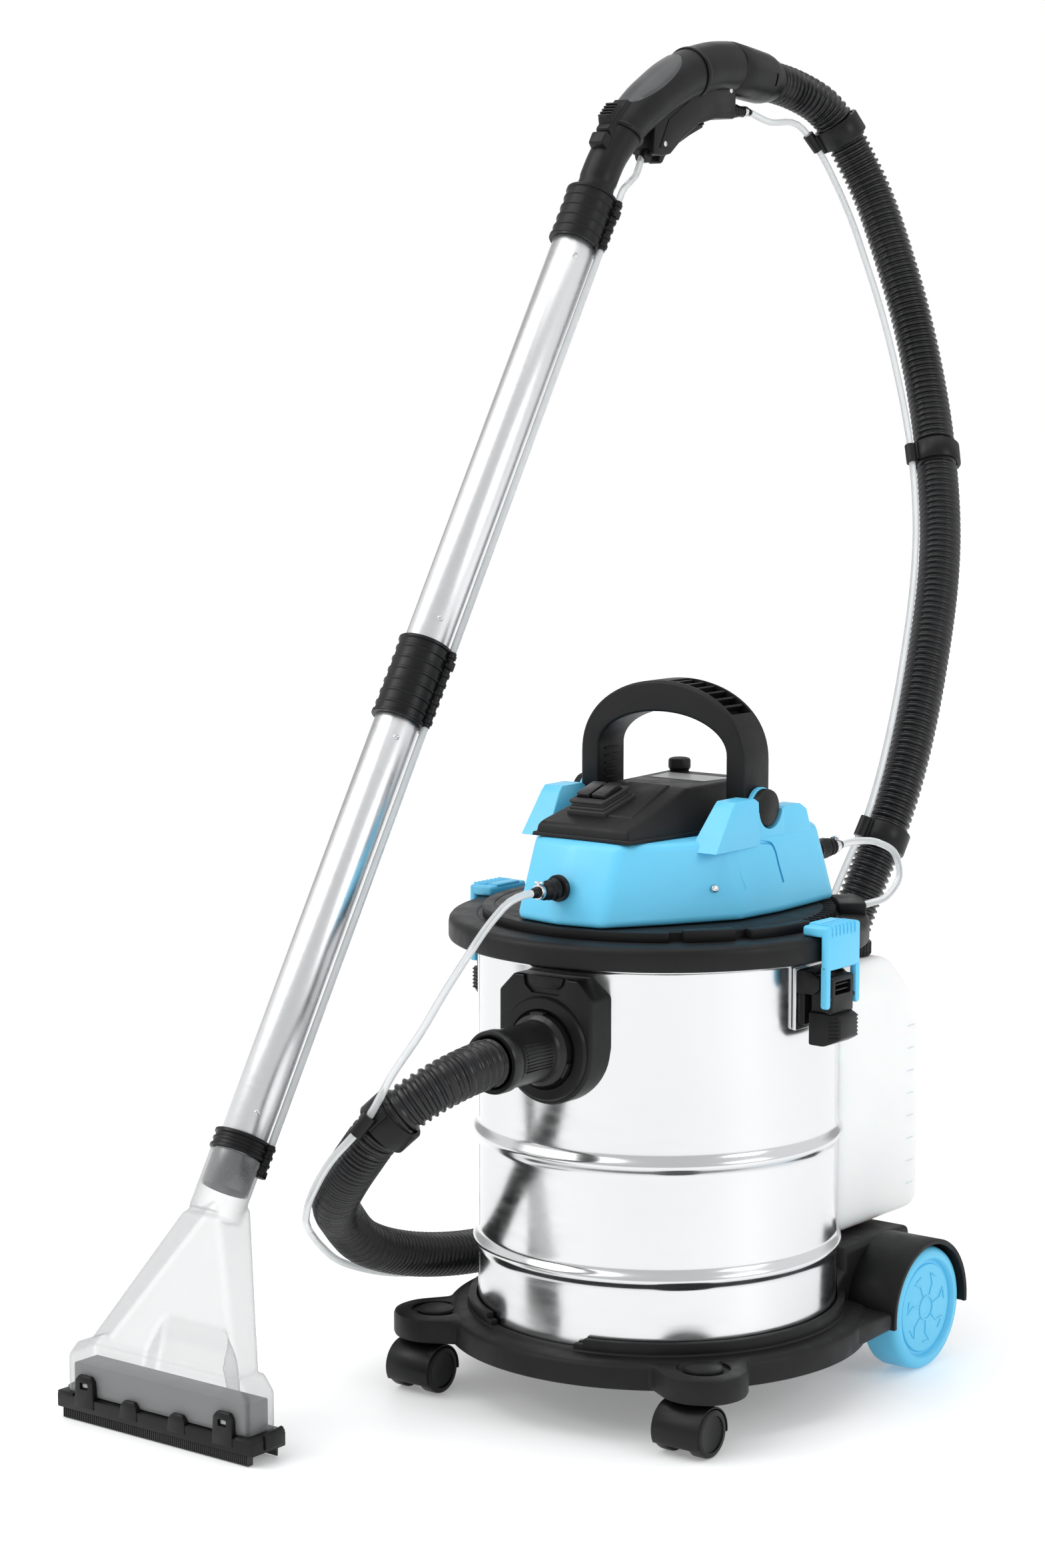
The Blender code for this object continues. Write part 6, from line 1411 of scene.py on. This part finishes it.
def nozzle_block(thin, bottom, soft):
    """The nozzle's foot block and fan, thinner by a wall for the hollow inside."""
    block = wrapped([(side * (half - thin), y, z) for side in (-1, 1)
                     for y in (thin - deep, deep - thin) for z in (bottom, 0.050 - thin)]
                    + [(side * (half - 0.010 - thin), y, 0.062 - thin) for side in (-1, 1)
                       for y in (thin - deep, deep - thin)], soft, 3)
    fan = wrapped([(side * (half - 0.0130 - thin), y, 0.0545 - thin) for side in (-1, 1)
                   for y in (thin - deep + 0.001, deep - thin - 0.001)]
                  + [(side * (0.0186 - thin), y + throat_y, throat) for side in (-1, 1)
                     for y in (thin - 0.0195, 0.0195 - thin)], soft * 1.6, 3)
    return [block, fan]


NOZZLE_FRAME = Matrix.Translation(at(-0.205, nozzle_y, 0.0))
outer_parts = nozzle_block(0.0, 0.0198, 0.0022)
neck = lathe([(0.0, -0.052), (0.02125, -0.052), (0.02125, -0.0040), (0.0208, -0.0033),
              (0.0, -0.0033)], 72)
neck.transform(NOZZLE_FRAME.inverted() @ WAND_FRAME)
hood = wrapped(mirrored([
    (0.045, deep - 0.004, 0.030), (0.045, deep + 0.017, 0.034), (0.040, deep + 0.019, 0.060),
    (0.024, deep + 0.012, 0.098), (0.024, deep - 0.008, 0.105)]), 0.0025, 3)
skin = held([*outer_parts, neck, hood], "skin")
altered(skin, "REMESH", mode="VOXEL", voxel_size=0.0017)
altered(skin, "SMOOTH", factor=0.5, iterations=3)
fan_skin = taken(skin)
piece("nozzle_fan", [fan_skin], frosted, "root", "clear_plastic", ["nozzle_shell"], 60.0,
      within=NOZZLE_FRAME)
core_grey = plastic("core_grey", (0.040, 0.041, 0.043), (0.055, 0.056, 0.058), 0.4, 0.5,
                    pitch=600.0, depth=0.00004)
core = brick((-half + 0.0045, -deep + 0.0022, 0.0215), (half - 0.0045, deep - 0.0026, 0.0440),
             0.0016, 2)
piece("nozzle_core_block", [core], core_grey, "root", "grey_plastic", ["nozzle_core"],
      within=NOZZLE_FRAME)
edge, foot_top = 0.1015, 0.0195
rail = brick((-edge, -deep - 0.0045, 0.0080), (edge, deep + 0.0030, foot_top), 0.0012, 2)
steps_ = [brick((-edge + 0.0005, -deep - 0.0044, 0.0150), (-edge + 0.0170, deep + 0.0028, 0.0212),
                0.0008, 2),
          brick((edge - 0.0170, -deep - 0.0044, 0.0150), (edge - 0.0005, deep + 0.0028, 0.0212),
                0.0008, 2)]
tabs = []
for x, width, top in ((-0.072, 0.0185, 0.0372), (0.072, 0.0185, 0.0372), (-0.025, 0.0165, 0.0262),
                      (0.025, 0.0165, 0.0262)):
    tab = wrapped([(x + side * w, y, z) for side in (-1, 1) for w, y, z in (
        (width / 2 + 0.001, -deep - 0.0052, 0.0120), (width / 2, -deep - 0.0050, top - 0.004),
        (width / 2 - 0.003, -deep - 0.0040, top), (width / 2 + 0.001, -deep + 0.0002, 0.0120),
        (width / 2, -deep - 0.0004, top - 0.004), (width / 2 - 0.003, -deep - 0.0004, top))],
                  0.0007, 2)
    if top > 0.03:
        tab = carved(tab, brick((x - 0.0042, -deep - 0.01, 0.0266),
                                (x + 0.0042, -deep - 0.0022, 0.0318),
                                0.0006, 1))
    tabs.append(tab)
ends = [wrapped([(side * x, y, z) for x, y, z in (
    (edge - 0.001, -0.0060, 0.0100), (edge + 0.0022, -0.0060, 0.0110),
    (edge + 0.0022, 0.0140, 0.0110),
    (edge - 0.001, 0.0140, 0.0100), (edge - 0.001, -0.0060, 0.0225),
    (edge + 0.0018, -0.0060, 0.0215),
    (edge + 0.0018, 0.0140, 0.0240), (edge - 0.001, 0.0140, 0.0250))], 0.0008, 2)
        for side in (-1, 1)]
piece("nozzle_foot_rail", [rail, *steps_, *tabs, *ends], satin_black, "root", "black_plastic",
      ["nozzle_foot"], within=NOZZLE_FRAME)
catches = [brick((x - 0.0032, -deep - 0.0030, 0.0276), (x + 0.0032, -deep - 0.0016, 0.0308),
                 0.0005, 2)
           for x in (-0.072, 0.072)]
piece("nozzle_tab_catches", catches, milky, "root", "clear_plastic", within=NOZZLE_FRAME)
strip_base = brick((-0.0960, -deep - 0.0026, 0.0020), (0.0960, -deep + 0.0024, 0.0081), 0.0006, 2)
piece("brush_strip_base", [strip_base], soft_rubber, "root", "rubber", ["brush_strip"],
      within=NOZZLE_FRAME)
repeated("brush_strip_ribs", brick((-0.0006, -deep - 0.0035, 0.0002),
                                   (0.0006, -deep + 0.0026, 0.0080),
                                   0.0003, 1), 96, soft_rubber, "root",
         place=(-0.0957, 0.0, 0.0), step=(0.002015, 0.0, 0.0), frame_at=NOZZLE_FRAME)
blade = wrapped([(side * 0.0965, y, z) for side in (-1, 1) for y, z in (
    (deep - 0.0030, 0.0081), (deep, 0.0081), (deep - 0.0004, 0.0002), (deep - 0.0016, 0.0002))],
                0.0003, 1)
piece("squeegee_blade", [blade], soft_rubber, "root", "rubber", ["squeegee"], within=NOZZLE_FRAME)
